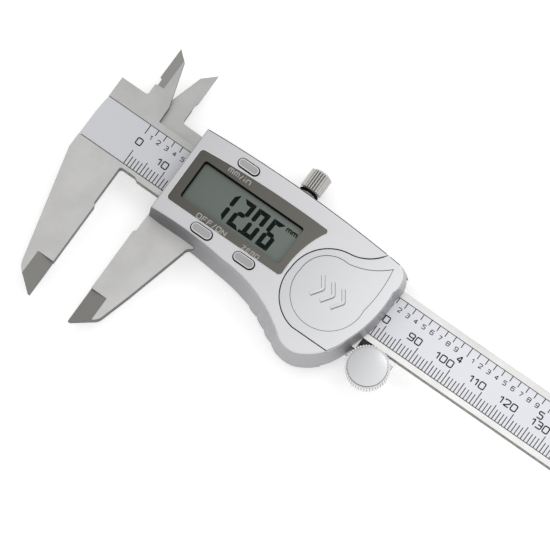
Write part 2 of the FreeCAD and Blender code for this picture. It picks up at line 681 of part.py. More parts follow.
def makeBattery():
    node(cylinder("battery_cell", ("cellX", "cellY", "cellBottom"), "cellRadius", "cellHeight", True),
         "battery_cell")
    minus = box("minus_contact", ("cellX - 5", "cellY - 1.5", "1.82"), ("9", "3", "0.18"), True)
    plus = box("plus_contact", ("cellX + cellRadius + 0.1", "cellY - 2.5", "cellBottom + 0.2"),
               ("0.3", "5", "4"), True)
    node(joined("battery_contacts", [minus, plus]), "battery_contacts")
    gasket = body("battery_gasket", onSlider=True)

    def ring(profile):
        circle(profile, "cellX", "cellY", "cellRadius + 1.25")
        circle(profile, "cellX", "cellY", "cellRadius + 0.75")
    pad(gasket, "gasket_ring", "coverBottom - 0.28", "0.26", ring)


def makeBatteryCover():
    cover = body("battery_cover", onSlider=True)
    pad(cover, "cover_plate", "coverBottom", "coverTop - coverBottom",
        lambda profile: outline(profile, coverOutline))
    rounded(cover, frontEdges(cover, size("coverTop")), "0.2")
    pocket(cover, "cover_mark", "coverTop", "markDepth", lambda profile: outline(profile, coverMark))


def makeWipers():
    for label, x in (("left_wiper", "2.5"), ("right_wiper", "60.4")):
        node(box(label, (x, "-7.9", "beamThick / 2 + runGap"), ("0.8", "15.8", "1.0"), True), label)


# ---- the thumb wheel ----

def makeWheel():
    wheelY = "0 - beamWidth / 2 - wheelRadius - 0.03"
    bracket = body("wheel_bracket", onSlider=True)
    pad(bracket, "bracket_outline", "housingBack", "bracketThick",
        lambda profile: outline(profile, bracketOutline))

    def holes(profile):
        circle(profile, "wheelX", wheelY, "axleRadius")
        for x, y in bracketScrewPlaces:
            circle(profile, x, y, "0.75")
    pocket(bracket, "bracket_holes", "1", "4", holes)

    def heads(profile):
        for x, y in bracketScrewPlaces:
            circle(profile, x, y, "1.35")
    pocket(bracket, "bracket_head_seats", "housingBack", "0.55", heads, reversedWay=True)
    screws("bracket_screws", bracketScrewPlaces, "housingBack", "0.5", "3.2", "0.7", "1.3", True)
    node(cylinder("wheel_axle", ("wheelX", wheelY, "housingBack"), "axleRadius", "4.2", True), "wheel_axle")

    wheel = doc.addObject("PartDesign::Body", "thumb_wheel")
    place(wheel, "wheelX", wheelY, "0", True)
    node(wheel, "thumb_wheel")
    profile = sketch(wheel, "wheel_section", "0", "XZ_Plane")
    radius, foot = size("wheelRadius"), size("wheelBottom")
    top = foot + size("wheelRim")
    bore = size("axleRadius") + 0.03
    outline(profile, [
        (bore, foot), (radius - 0.35, foot), (radius, foot + 0.35), (radius, top - 0.45), (radius - 0.45, top),
        ((radius * 0.55, top + size("wheelDome") * 0.72), (0.5, top + size("wheelDome"))),
        (0.0, top + size("wheelDome")), (0.0, 2.6), (bore, 2.6),
    ])
    turn = wheel.newObject("PartDesign::Revolution", "wheel_turned")
    turn.Profile = profile
    turn.ReferenceAxis = (profile, ["V_Axis"])
    turn.Angle = 360
    doc.recompute()


# ---- the lock ----

def makeLock():
    lock = doc.addObject("PartDesign::Body", "lock_screw")
    place(lock, "lockX", "0", "0", True)
    node(lock, "lock_screw")
    profile = sketch(lock, "lock_section")
    stem, knob = size("lockStemRadius"), size("lockKnobRadius")
    stemFoot, knobFoot = size("lockStemFoot"), size("lockKnobFoot")
    knobTop = knobFoot + size("lockKnobLength")
    outline(profile, [
        (0.0, stemFoot), (stem, stemFoot), (stem, 14.8), (1.9, 14.8), (1.9, knobFoot), (knob - 0.5, knobFoot),
        (knob, knobFoot + 0.5), (knob, knobTop - 0.7), (knob - 0.7, knobTop), (0.0, knobTop),
    ])
    turn = lock.newObject("PartDesign::Revolution", "lock_turned")
    turn.Profile = profile
    turn.ReferenceAxis = (profile, ["V_Axis"])
    turn.Angle = 360
    doc.recompute()
    node(cylinder("lock_pad", ("lockX", "lockStemFoot - lockPadThick - 0.02", "0"), "1.2", "lockPadThick",
                  True, "Y"), "lock_pad")


makeBeam()
makeScale()
makeStop()
makeSliderFrame()
makeGib()
makeDepthRod()
makeHousing()
makeRearCover()
makePanel()
makeDisplay()
makeBoard()
makeButtons()
makeBattery()
makeBatteryCover()
makeWipers()
makeWheel()
makeLock()
doc.recompute()

for thing in doc.Objects:
    if "Invalid" in thing.State or "Error" in thing.State:
        raise RuntimeError("failed: " + thing.Name)
os.makedirs("parts", exist_ok=True)
for thing in nodes:
    shape = thing.Shape
    if shape.isNull() or not shape.isValid():
        raise RuntimeError("bad shape: " + thing.Label)
    shape.exportStep("parts/" + thing.Label + ".step")
    print("%-20s solids %d, volume %.1f mm3" % (thing.Label, len(shape.Solids), shape.Volume))
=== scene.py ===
import json
import math
import bmesh
import bpy
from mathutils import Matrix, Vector


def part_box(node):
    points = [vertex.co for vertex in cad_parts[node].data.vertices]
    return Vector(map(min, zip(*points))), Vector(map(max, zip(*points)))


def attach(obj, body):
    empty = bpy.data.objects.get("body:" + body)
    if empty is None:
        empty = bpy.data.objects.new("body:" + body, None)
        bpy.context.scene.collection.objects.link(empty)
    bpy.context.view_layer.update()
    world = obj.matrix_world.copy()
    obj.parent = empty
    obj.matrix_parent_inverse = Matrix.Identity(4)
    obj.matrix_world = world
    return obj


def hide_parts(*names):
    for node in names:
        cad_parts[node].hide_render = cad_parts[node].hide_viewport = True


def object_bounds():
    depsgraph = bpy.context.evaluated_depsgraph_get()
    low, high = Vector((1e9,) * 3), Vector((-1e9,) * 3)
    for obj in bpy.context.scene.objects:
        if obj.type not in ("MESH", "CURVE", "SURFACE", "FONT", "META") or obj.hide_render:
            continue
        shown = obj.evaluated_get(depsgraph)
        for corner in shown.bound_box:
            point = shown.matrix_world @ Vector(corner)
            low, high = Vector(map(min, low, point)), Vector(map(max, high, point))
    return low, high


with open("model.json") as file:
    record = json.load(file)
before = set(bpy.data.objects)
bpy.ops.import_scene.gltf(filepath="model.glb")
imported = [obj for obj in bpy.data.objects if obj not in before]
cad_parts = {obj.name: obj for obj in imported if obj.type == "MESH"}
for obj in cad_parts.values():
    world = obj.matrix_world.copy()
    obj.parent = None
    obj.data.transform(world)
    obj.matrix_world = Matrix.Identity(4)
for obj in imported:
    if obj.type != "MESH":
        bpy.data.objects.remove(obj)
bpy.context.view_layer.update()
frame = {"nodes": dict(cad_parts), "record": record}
nodes = frame["nodes"]
mm = 0.001
labelLow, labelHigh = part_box("scale_label")
beamY = (labelLow.y + labelHigh.y) / 2 + 0.1 * mm  # the label sits a touch below the beam's centre line
mounts = {mount["name"]: mount for mount in frame["record"]["mounts"]}
jawX = mounts["sliding_measuring_face"]["pos_m"][0]  # the sliding jaw's measuring face
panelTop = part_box("display_panel")[1].z
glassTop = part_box("lcd_glass")[1].z
print("frame loaded:", len(nodes), "nodes")


def onSlider(x, y, z=0.0):
    # millimetres from the sliding face, the beam's centre line and its mid plane
    return Vector((jawX + x * mm, beamY + y * mm, z * mm))


# materials

def addNode(tree, kind, **values):
    made = tree.nodes.new(kind)
    for name, value in values.items():
        if hasattr(made, name):
            setattr(made, name, value)
        else:
            made.inputs[name].default_value = value
    return made


def noiseOf(tree, coordinates, stretch, scale, detail=4.0):
    mapping = addNode(tree, "ShaderNodeMapping", Scale=stretch)
    noise = addNode(tree, "ShaderNodeTexNoise", Scale=scale, Detail=detail)
    tree.links.new(coordinates, mapping.inputs["Vector"])
    tree.links.new(mapping.outputs["Vector"], noise.inputs["Vector"])
    return noise.outputs["Fac"]


def ramp(tree, source, fromLow, fromHigh, toLow, toHigh, smooth=False):
    # turns a value between two limits into one between two others
    ranged = addNode(tree, "ShaderNodeMapRange")
    if smooth:
        ranged.interpolation_type = "SMOOTHSTEP"
    limits = {"From Min": fromLow, "From Max": fromHigh, "To Min": toLow, "To Max": toHigh}
    for label, value in limits.items():
        ranged.inputs[label].default_value = value
    tree.links.new(source, ranged.inputs["Value"])
    return ranged.outputs["Result"]


def spread(tree, source, low, high):
    # stretches a noise, most of which lies between these two values
    return ramp(tree, source, surface["noiseLow"], surface["noiseHigh"], low, high)


def plainColour(tree, colour):
    made = addNode(tree, "ShaderNodeRGB")
    made.outputs[0].default_value = colour + (1.0,)
    return made.outputs[0]


def dimmed(tree, colour, share):
    # a colour times a share, both of them sockets
    made = addNode(tree, "ShaderNodeVectorMath", operation="SCALE")
    tree.links.new(colour, made.inputs[0])
    tree.links.new(share, made.inputs["Scale"])
    return made.outputs[0]


def lightened(tree, colour, coordinates, near, far, ratio, axis="X"):
    # scales a colour from 1 at near to ratio at far, both distances along one axis
    along = addNode(tree, "ShaderNodeSeparateXYZ")
    tree.links.new(coordinates, along.inputs[0])
    share = ramp(tree, along.outputs[axis], near * mm, far * mm, 1.0, ratio)
    return dimmed(tree, colour, share)


def blended(tree, factor, first, second):
    # each of the two colours is a tuple or a socket
    mix = addNode(tree, "ShaderNodeMix", data_type="RGBA")
    tree.links.new(factor, mix.inputs["Factor"])
    for socket, colour in ((mix.inputs[6], first), (mix.inputs[7], second)):
        if isinstance(colour, tuple):
            socket.default_value = colour + (1.0,)
        else:
            tree.links.new(colour, socket)
    return mix.outputs[2]


def facingOf(tree):
    # the surface's direction, and how squarely it faces up or down
    facing = addNode(tree, "ShaderNodeSeparateXYZ")
    tree.links.new(addNode(tree, "ShaderNodeTexCoord").outputs["Normal"], facing.inputs[0])
    level = addNode(tree, "ShaderNodeMath", operation="ABSOLUTE")
    tree.links.new(facing.outputs["Z"], level.inputs[0])
    return facing, level.outputs[0]


def mottled(tree, look, broad, grain):
    # the main colour, drifting a little darker and lighter
    drift = look.get("drift", 0.06)
    darker = tuple(c * (1 - drift) for c in look["colour"])
    lighter = tuple(min(c * (1 + drift), 1.0) for c in look["colour"])
    fine = addNode(tree, "ShaderNodeMath", operation="MULTIPLY")
    tree.links.new(grain, fine.inputs[0])
    fine.inputs[1].default_value = 1 - surface["broadShare"]
    both = addNode(tree, "ShaderNodeMath", operation="MULTIPLY_ADD")
    tree.links.new(broad, both.inputs[0])
    both.inputs[1].default_value = surface["broadShare"]
    tree.links.new(fine.outputs[0], both.inputs[2])
    return blended(tree, spread(tree, both.outputs[0], 0.0, 1.0), darker, lighter)


def walled(tree, look, coordinates, colour):
    # painted light and shade: upright faces take their own colour, mostly darker than the ones that face
    # up, as less light falls on them
    facing, level = facingOf(tree)
    flat = ramp(tree, level, surface["wallLevel"], surface["flatLevel"], 0.0, 1.0, smooth=True)
    wallShading = look["wallShading"]
    if "wallShadingFar" in look:
        wallShading = lightened(tree, plainColour(tree, wallShading), coordinates, *look["wallShadingFar"])
    elif "sideDark" in look:
        # the faces that look along +X lie in the shade
        shade = ramp(tree, facing.outputs["X"], *surface["shadeFacing"], 1.0, look["sideDark"])
        wallShading = dimmed(tree, plainColour(tree, wallShading), shade)
    return blended(tree, flat, wallShading, colour)


def tipped(tree, look, coordinates, colour):
    # painted shade: faces at a slant, as on the thinned tips, are darker, standing in for the darker room
    # they mirror, and this darker colour grows lighter along Y
    level = facingOf(tree)[1]
    slanted = addNode(tree, "ShaderNodeMath", operation="COMPARE")
    tree.links.new(level, slanted.inputs[0])
    slanted.inputs[1].default_value = surface["slantLevel"]
    slanted.inputs[2].default_value = surface["slantReach"]
    dark = lightened(tree, plainColour(tree, look["tipShadeColour"]), coordinates, *look["tipShadeUp"], axis="Y")
    return blended(tree, slanted.outputs[0], colour, dark)


# the limits that every finish shares
surface = {"noiseLow": 0.3, "noiseHigh": 0.7, "broadShare": 0.6, "wallLevel": 0.25, "flatLevel": 0.9,
           "shadeFacing": (0.3, 0.9), "slantLevel": 0.93, "slantReach": 0.055, "bumpDepth": 0.00002}


def finish(name, look):
    # one shader for every hard finish: a drifting colour, a grain in the roughness, a fine bump, soft edges
    material = bpy.data.materials.new(name)
    material.use_nodes = True
    tree = material.node_tree
    shader = tree.nodes["Principled BSDF"]
    coordinates = addNode(tree, "ShaderNodeTexCoord").outputs["Object"]
    broad = noiseOf(tree, coordinates, (1, 1, 1), look.get("driftScale", 60.0))
    grainScale = look.get("grainScale", 3000.0)
    grain = noiseOf(tree, coordinates, look.get("stretch", (1, 1, 1)), grainScale, 6.0)
    colour = mottled(tree, look, broad, grain)
    if "far" in look:
        # painted light: the tone changes evenly along X, as under a light at one end
        colour = lightened(tree, colour, coordinates, *look["far"])
    # painted shade: the tone darkens evenly along Y, as where less light falls
    if "up" in look:
        colour = lightened(tree, colour, coordinates, *look["up"], axis="Y")
    if "wallShading" in look:
        colour = walled(tree, look, coordinates, colour)
    if "tipShadeColour" in look:
        colour = tipped(tree, look, coordinates, colour)
    tree.links.new(colour, shader.inputs["Base Color"])
    rough = look.get("roughness", 0.4)
    reach = look.get("roughSpread", 0.08)
    tree.links.new(spread(tree, grain, rough - reach, rough + reach), shader.inputs["Roughness"])
    shader.inputs["Metallic"].default_value = look.get("metallic", 0.0)
    shader.inputs["Coat Weight"].default_value = look.get("coat", 0.0)
    shader.inputs["Coat Roughness"].default_value = look.get("coatRoughness", 0.15)
    shader.inputs["Specular IOR Level"].default_value = look.get("specular", 0.5)
    bump = addNode(tree, "ShaderNodeBump", Strength=look.get("bump", 0.1), Distance=surface["bumpDepth"])
    tree.links.new(grain, bump.inputs["Height"])
    if look.get("edge", 0.0) > 0:
        bevel = addNode(tree, "ShaderNodeBevel", samples=4, Radius=look["edge"] * mm)
        tree.links.new(bevel.outputs["Normal"], bump.inputs["Normal"])
    tree.links.new(bump.outputs["Normal"], shader.inputs["Normal"])
    return material


# the far and up ramps and the colours for upright and slanted faces paint light and shade into these
# finishes
finishes = {
    "jaw_steel": {"colour": (0.55, 0.546, 0.54), "metallic": 0.8, "far": (15, 85, 1.7), "roughness": 0.38,
                  "stretch": (1, 14, 1), "grainScale": 900.0, "drift": 0.11, "driftScale": 150.0,
                  "bump": 0.08,
                  "edge": 0.12, "up": (34, 42, 0.87), "wallShading": (0.11, 0.108, 0.106), "sideDark": 0.12,
                  "tipShadeColour": (0.235, 0.232, 0.222),
                  "tipShadeUp": (30, 40, 1.6)},
    "label": {"colour": (0.66, 0.665, 0.70), "roughness": 0.4, "drift": 0.015, "grainScale": 2500.0,
              "bump": 0.02, "specular": 0.3, "far": (0, 100, 1.38)},
    "grid_board": {"colour": (0.08, 0.20, 0.12), "roughness": 0.4},
    "housing": {"colour": (0.595, 0.595, 0.615), "metallic": 0.3, "roughness": 0.38, "drift": 0.03,
                "grainScale": 9000.0, "bump": 0.02, "coat": 0.1, "edge": 0.2, "roughSpread": 0.04,
                "wallShading": (0.17, 0.17, 0.178),
                "far": (12, 75, 1.4), "wallShadingFar": (20, 48, 2.15)},
    "rear": {"colour": (0.50, 0.50, 0.53), "metallic": 0.5, "roughness": 0.4, "stretch": (14, 1, 1),
             "grainScale": 900.0, "drift": 0.05, "bump": 0.08, "edge": 0.2, "wallShading": (0.19, 0.19, 0.20)},
    "panel": {"colour": (0.090, 0.086, 0.076), "metallic": 0.3, "roughness": 0.35, "drift": 0.05,
              "grainScale": 9000.0, "bump": 0.02, "specular": 0.3, "far": (14, 58, 1.9)},
    "lcd": {"colour": (0.118, 0.142, 0.128), "roughness": 0.2, "drift": 0.05, "driftScale": 35.0,
            "grainScale": 8000.0, "bump": 0.01, "specular": 0.3, "coat": 0.3, "coatRoughness": 0.05,
            "far": (16, 50, 1.35)},
    "reflector": {"colour": (0.55, 0.58, 0.54), "metallic": 0.5, "roughness": 0.3},
    "zebra": {"colour": (0.08, 0.08, 0.09), "roughness": 0.6, "stretch": (30, 1, 1), "grainScale": 600.0},
    "board": {"colour": (0.03, 0.20, 0.09), "roughness": 0.35, "coat": 0.3},
    "chip": {"colour": (0.02, 0.02, 0.02), "roughness": 0.3},
    "components": {"colour": (0.45, 0.36, 0.26), "roughness": 0.5},
    "can": {"colour": (0.75, 0.75, 0.77), "metallic": 1.0, "roughness": 0.2},
    "button": {"colour": (0.40, 0.40, 0.40), "metallic": 0.6, "roughness": 0.32, "drift": 0.05,
               "grainScale": 9000.0, "bump": 0.02, "edge": 0.25, "wallShading": (0.12, 0.12, 0.12)},
    "seal": {"colour": (0.03, 0.03, 0.03), "roughness": 0.7, "bump": 0.2},
    "screw": {"colour": (0.5, 0.5, 0.52), "metallic": 1.0, "roughness": 0.3, "edge": 0.1},
    "brass": {"colour": (0.72, 0.52, 0.25), "metallic": 1.0, "roughness": 0.3},
    "rod": {"colour": (0.6, 0.6, 0.6), "metallic": 1.0, "roughness": 0.3, "stretch": (1, 14, 1),
            "grainScale": 900.0, "edge": 0.1, "wallShading": (0.25, 0.25, 0.25)},
    "cell": {"colour": (0.75, 0.75, 0.77), "metallic": 1.0, "roughness": 0.25},
    "contact": {"colour": (0.75, 0.6, 0.35), "metallic": 1.0, "roughness": 0.3},
    "cover": {"colour": (0.67, 0.675, 0.69), "metallic": 0.3, "roughness": 0.32, "drift": 0.03,
              "grainScale": 9000.0, "bump": 0.01, "coat": 0.15, "edge": 0.15, "wallShading": (0.26, 0.26, 0.27),
              "roughSpread": 0.04, "far": (52, 76, 1.3)},
    "wheel": {"colour": (0.61, 0.62, 0.63), "metallic": 0.5, "roughness": 0.25, "drift": 0.02,
              "grainScale": 9000.0, "bump": 0.0, "roughSpread": 0.03, "far": (78, 87, 1.35), "coat": 0.2,
              "edge": 0.12, "wallShading": (0.46, 0.46, 0.47)},
    "knob": {"colour": (0.42, 0.41, 0.395), "metallic": 1.0, "roughness": 0.22, "drift": 0.08,
             "grainScale": 4000.0, "bump": 0.05, "edge": 0.08, "wallShading": (0.55, 0.54, 0.52)},
}
extraFinishes = {
    "printInk": {"colour": (0.014, 0.015, 0.018), "roughness": 0.5, "drift": 0.15, "bump": 0.02,
                 "specular": 0.15},
    "captionInk": {"colour": (0.44, 0.43, 0.40), "roughness": 0.45, "drift": 0.05, "bump": 0.02},
    "segmentInk": {"colour": (0.006, 0.010, 0.008), "roughness": 0.4, "drift": 0.1, "bump": 0.02,
                   "specular": 0.05},
    "jointAndShadeBlack": {"colour": (0.005, 0.005, 0.005), "roughness": 0.7, "drift": 0.1, "specular": 0.05},
    "knobCoreShade": {"colour": (0.09, 0.088, 0.084), "metallic": 0.8, "roughness": 0.35, "bump": 0.05},
    "knobRibLit": {"colour": (0.52, 0.51, 0.49), "metallic": 1.0, "roughness": 0.2, "bump": 0.03},
    "wheelCoreShade": {"colour": (0.40, 0.40, 0.41), "metallic": 0.5, "roughness": 0.4, "bump": 0.03},
    "wheelRibLit": {"colour": (0.85, 0.85, 0.87), "metallic": 0.6, "roughness": 0.25, "bump": 0.02},
    "paintedHighlight": {"colour": (0.76, 0.76, 0.78), "metallic": 0.6, "roughness": 0.25},
    "recessShadeGrey": {"colour": (0.10, 0.10, 0.11), "roughness": 0.5, "specular": 0.2},
    "markAndShadeGrey": {"colour": (0.13, 0.13, 0.145), "roughness": 0.5, "specular": 0.2},
    "arrowShade": {"colour": (0.30, 0.30, 0.32), "roughness": 0.5, "specular": 0.2},
}
materials = {name: finish(name, look) for name, look in {**finishes, **extraFinishes}.items()}
slotOf = {part["node"]: part["material_slot"] for part in frame["record"]["subparts"]}
for nodeName, thing in nodes.items():
    for materialSlot in thing.material_slots:
        materialSlot.material = materials[slotOf[nodeName]]
print("finishes made:", len(materials))


# making pieces

def piece(name, points, faces, finishName, body, smooth=False):
    mesh = bpy.data.meshes.new(name)
    mesh.from_pydata(points, [], faces)
    mesh.materials.append(materials[finishName])
    mesh.validate()
    thing = bpy.data.objects.new(name, mesh)
    bpy.context.scene.collection.objects.link(thing)
    if smooth:
        mesh.shade_smooth()
    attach(thing, body)
    return thing


def turnOutward(thing):
    # makes every face of a closed mesh look outward
    work = bmesh.new()
    work.from_mesh(thing.data)
    bmesh.ops.recalc_face_normals(work, faces=work.faces)
    work.to_mesh(thing.data)
    work.free()


def ribbon(points, faces, path, width, low, high, closed=False):
    # adds a flat strip with mitred corners, from height low to height high, along path
    count = len(path)
    first = len(points)
    for index, here in enumerate(path):
        before = path[index - 1] if index or closed else None
        after = path[(index + 1) % count] if index < count - 1 or closed else None
        inward = (here - before).normalized() if before is not None else (after - here).normalized()
        outward = (after - here).normalized() if after is not None else inward
        across = Vector((-(inward.y + outward.y), inward.x + outward.x))
        across = across.normalized()
        lean = max(0.35, across.dot(Vector((-inward.y, inward.x))))
        across = across * (width / 2 / lean)
        for side in (1, -1):
            for level in (low, high):
                points.append((here.x + side * across.x, here.y + side * across.y, level))
    for index in range(count if closed else count - 1):
        one = first + 4 * index
        two = first + 4 * ((index + 1) % count)
        faces.append((one + 1, one + 3, two + 3, two + 1))
        faces.append((one, two, two + 2, one + 2))
        faces.append((one, one + 1, two + 1, two))
        faces.append((one + 2, two + 2, two + 3, one + 3))
    if not closed:
        last = first + 4 * (count - 1)
        faces.append((first, first + 2, first + 3, first + 1))
        faces.append((last, last + 1, last + 3, last + 2))


def eased(path, radius, closed, steps=3):
    # the same path with its corners rounded
    result = []
    count = len(path)
    for index, here in enumerate(path):
        if not closed and index in (0, count - 1):
            result.append(here)
            continue
        before, after = path[index - 1], path[(index + 1) % count]
        reach = min(radius, (here - before).length * 0.5, (here - after).length * 0.5)
        start = here + (before - here).normalized() * reach
        end = here + (after - here).normalized() * reach
        for step in range(steps + 1):
            share = step / steps
            result.append(start * (1 - share) ** 2 + here * (2 * share * (1 - share)) + end * share ** 2)
    return result


# strokes on a square one unit wide and high: (points, closed)
square = [(0, 0), (1, 0), (1, 1), (0, 1)]
glyphs = {
    "0": [(square, True)], "O": [(square, True)],
    "1": [([(0.0, 0.72), (0.5, 1), (0.5, 0)], False)],
    "2": [([(0, 0.78), (0, 1), (1, 1), (1, 0.56), (0, 0), (1.04, 0)], False)],
    "3": [([(0, 1), (1, 1), (1, 0), (0, 0)], False), ([(0.3, 0.53), (1, 0.53)], False)],
    "4": [([(0.74, 0), (0.74, 1), (0, 0.28), (1.05, 0.28)], False)],
    "5": [([(1, 1), (0, 1), (0, 0.58), (1, 0.58), (1, 0), (0, 0)], False)],
    "6": [([(1, 0.94), (1, 1), (0, 1), (0, 0), (1, 0), (1, 0.58), (0, 0.58)], False)],
    "7": [([(0, 1), (1, 1), (0.35, 0)], False)],
    "8": [(square, True), ([(0, 0.53), (1, 0.53)], False)],
    "9": [([(1, 0.42), (0, 0.42), (0, 1), (1, 1), (1, 0), (0, 0), (0, 0.06)], False)],
    "F": [([(1, 1), (0, 1), (0, 0)], False), ([(0, 0.52), (0.85, 0.52)], False)],
    "N": [([(0, 0), (0, 1), (1, 0), (1, 1)], False)],
    "Z": [([(0, 1), (1, 1), (0, 0), (1, 0)], False)],
    "E": [([(1, 1), (0, 1), (0, 0), (1, 0)], False), ([(0, 0.52), (0.85, 0.52)], False)],
    "R": [([(0, 0), (0, 1), (1, 1), (1, 0.5), (0, 0.5)], False), ([(0.5, 0.5), (1, 0)], False)],
    "m": [([(0, 0), (0, 0.9), (1, 0.9), (1, 0)], False), ([(0.5, 0.9), (0.5, 0)], False)],
    "n": [([(0, 0), (0, 0.9), (1, 0.9), (1, 0)], False)],
    "i": [([(0.5, 0), (0.5, 0.72)], False), ([(0.5, 0.92), (0.5, 1.08)], False)],
    "/": [([(0.1, -0.08), (0.9, 1.08)], False)],
}
narrow = {"1": 0.62, "i": 0.35, "/": 0.6}


def write(points, faces, text, place, style, low, high, align="left"):
    # writes text with its lower left, lower middle or lower right corner at place
    tall, wide, gap = style["height"], style["width"], style["gap"]
    widths = {**narrow, "m": style.get("mWide", 1.0)}
    advance = [wide * widths.get(letter, 1.0) for letter in text]
    total = sum(advance) + gap * (len(text) - 1)
    x = place.x - {"left": 0.0, "middle": total / 2, "right": total}[align]
    for letter, room in zip(text, advance):
        for stroke, closed in glyphs[letter]:
            share = room if letter != "1" else wide
            path = [Vector((x + px * share, place.y + py * tall)) for px, py in stroke]
            if letter == "1":
                path = [point - Vector((wide * 0.5 - room + style["stroke"] / 2, 0)) for point in path]
            path = eased(path, style["round"] * tall, closed)
            ribbon(points, faces, path, style["stroke"], low, high, closed)
        x += room + gap


def emptyPiece(name):
    thing = bpy.data.objects.new(name, bpy.data.meshes.new(name))
    bpy.context.scene.collection.objects.link(thing)
    return thing


def newTree(name, inputs):
    tree = bpy.data.node_groups.new(name, "GeometryNodeTree")
    tree.interface.new_socket("Geometry", in_out="OUTPUT", socket_type="NodeSocketGeometry")
    for label, kind in inputs:
        tree.interface.new_socket(label, in_out="INPUT", socket_type="NodeSocket" + kind)
    return tree


def closeTree(tree, shown, materialSocket):
    realize = tree.nodes.new("GeometryNodeRealizeInstances")
    paint = tree.nodes.new("GeometryNodeSetMaterial")
    output = tree.nodes.new("NodeGroupOutput")
    tree.links.new(shown, realize.inputs[0])
    tree.links.new(realize.outputs[0], paint.inputs["Geometry"])
    tree.links.new(materialSocket, paint.inputs["Material"])
    tree.links.new(paint.outputs[0], output.inputs[0])


def rowTree():
    # small bars in a row along X
    tree = newTree("barRow", [("Count", "Int"), ("Pitch", "Float"), ("First", "Vector"), ("Bar", "Vector"),
                              ("Ink", "Material")])
    given = tree.nodes.new("NodeGroupInput")
    line = tree.nodes.new("GeometryNodeMeshLine")
    step = tree.nodes.new("ShaderNodeCombineXYZ")
    cube = tree.nodes.new("GeometryNodeMeshCube")
    placed = tree.nodes.new("GeometryNodeInstanceOnPoints")
    tree.links.new(given.outputs["Count"], line.inputs["Count"])
    tree.links.new(given.outputs["Pitch"], step.inputs["X"])
    tree.links.new(given.outputs["First"], line.inputs["Start Location"])
    tree.links.new(step.outputs[0], line.inputs["Offset"])
    tree.links.new(given.outputs["Bar"], cube.inputs["Size"])
    tree.links.new(line.outputs[0], placed.inputs["Points"])
    tree.links.new(cube.outputs["Mesh"], placed.inputs["Instance"])
    closeTree(tree, placed.outputs[0], given.outputs["Ink"])
    return tree


def ringTree():
    # ribs round a rim, each a thin six-sided rod along the rim's axis
    tree = newTree("ribRing", [("Count", "Int"), ("Radius", "Float"), ("Rib Radius", "Float"),
                               ("Rib Length", "Float"), ("Centre", "Vector"), ("Turn", "Rotation"),
                               ("Finish", "Material")])
    given = tree.nodes.new("NodeGroupInput")
    circle = tree.nodes.new("GeometryNodeMeshCircle")
    rod = tree.nodes.new("GeometryNodeMeshCylinder")
    rod.inputs["Vertices"].default_value = 6
    placed = tree.nodes.new("GeometryNodeInstanceOnPoints")
    moved = tree.nodes.new("GeometryNodeTransform")
    tree.links.new(given.outputs["Count"], circle.inputs["Vertices"])
    tree.links.new(given.outputs["Radius"], circle.inputs["Radius"])
    tree.links.new(given.outputs["Rib Radius"], rod.inputs["Radius"])
    tree.links.new(given.outputs["Rib Length"], rod.inputs["Depth"])
    tree.links.new(circle.outputs[0], placed.inputs["Points"])
    tree.links.new(rod.outputs["Mesh"], placed.inputs["Instance"])
    tree.links.new(placed.outputs[0], moved.inputs["Geometry"])
    tree.links.new(given.outputs["Centre"], moved.inputs["Translation"])
    tree.links.new(given.outputs["Turn"], moved.inputs["Rotation"])
    closeTree(tree, moved.outputs[0], given.outputs["Finish"])
    return tree


def grow(name, tree, values, body):
    # runs a tree on a new piece and keeps the plain mesh that comes out
    thing = emptyPiece(name)
    modifier = thing.modifiers.new("grown", "NODES")
    modifier.node_group = tree
    for socket in tree.interface.items_tree:
        if socket.in_out == "INPUT":
            modifier[socket.identifier] = values[socket.name]
    seen = thing.evaluated_get(bpy.context.evaluated_depsgraph_get())
    mesh = bpy.data.meshes.new_from_object(seen)
    thing.modifiers.clear()
    thing.data = mesh
    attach(thing, body)
    return thing


barRow = rowTree()
ribRing = ringTree()

# the printed scale

scalePrint = {
    "zeroShift": -0.4, "inchShift": -0.1, "lineWidth": 0.24, "inkThick": 0.012,
    "millimetres": 201, "lowerEdge": -6.28, "tick": 2.9, "tickFive": 0.8, "tickTen": 0.6,
    "tenths": 79, "upperEdge": 6.05, "tenthTick": 1.6, "inchTick": 1.1,
    "numberFoot": -1.45, "zeroFoot": -0.1, "smallFoot": 2.85, "bigFoot": 0.9, "borderWidths": (0.28, 0.14),
    "borderInsets": (0.08, 0.05), "borderStart": 0.6, "numberShift": 0.15, "tenthShift": 0.35,
}
numberStyle = {"height": 1.8, "width": 1.52, "gap": 0.6, "stroke": 0.33, "round": 0.2}
smallStyle = {"height": 1.12, "width": 0.88, "gap": 0.3, "stroke": 0.21, "round": 0.2}
inchStyle = {"height": 1.85, "width": 1.4, "gap": 0.5, "stroke": 0.34, "round": 0.2}


def scaled(style):
    return {key: value * mm if key in ("height", "width", "gap", "stroke") else value
            for key, value in style.items()}


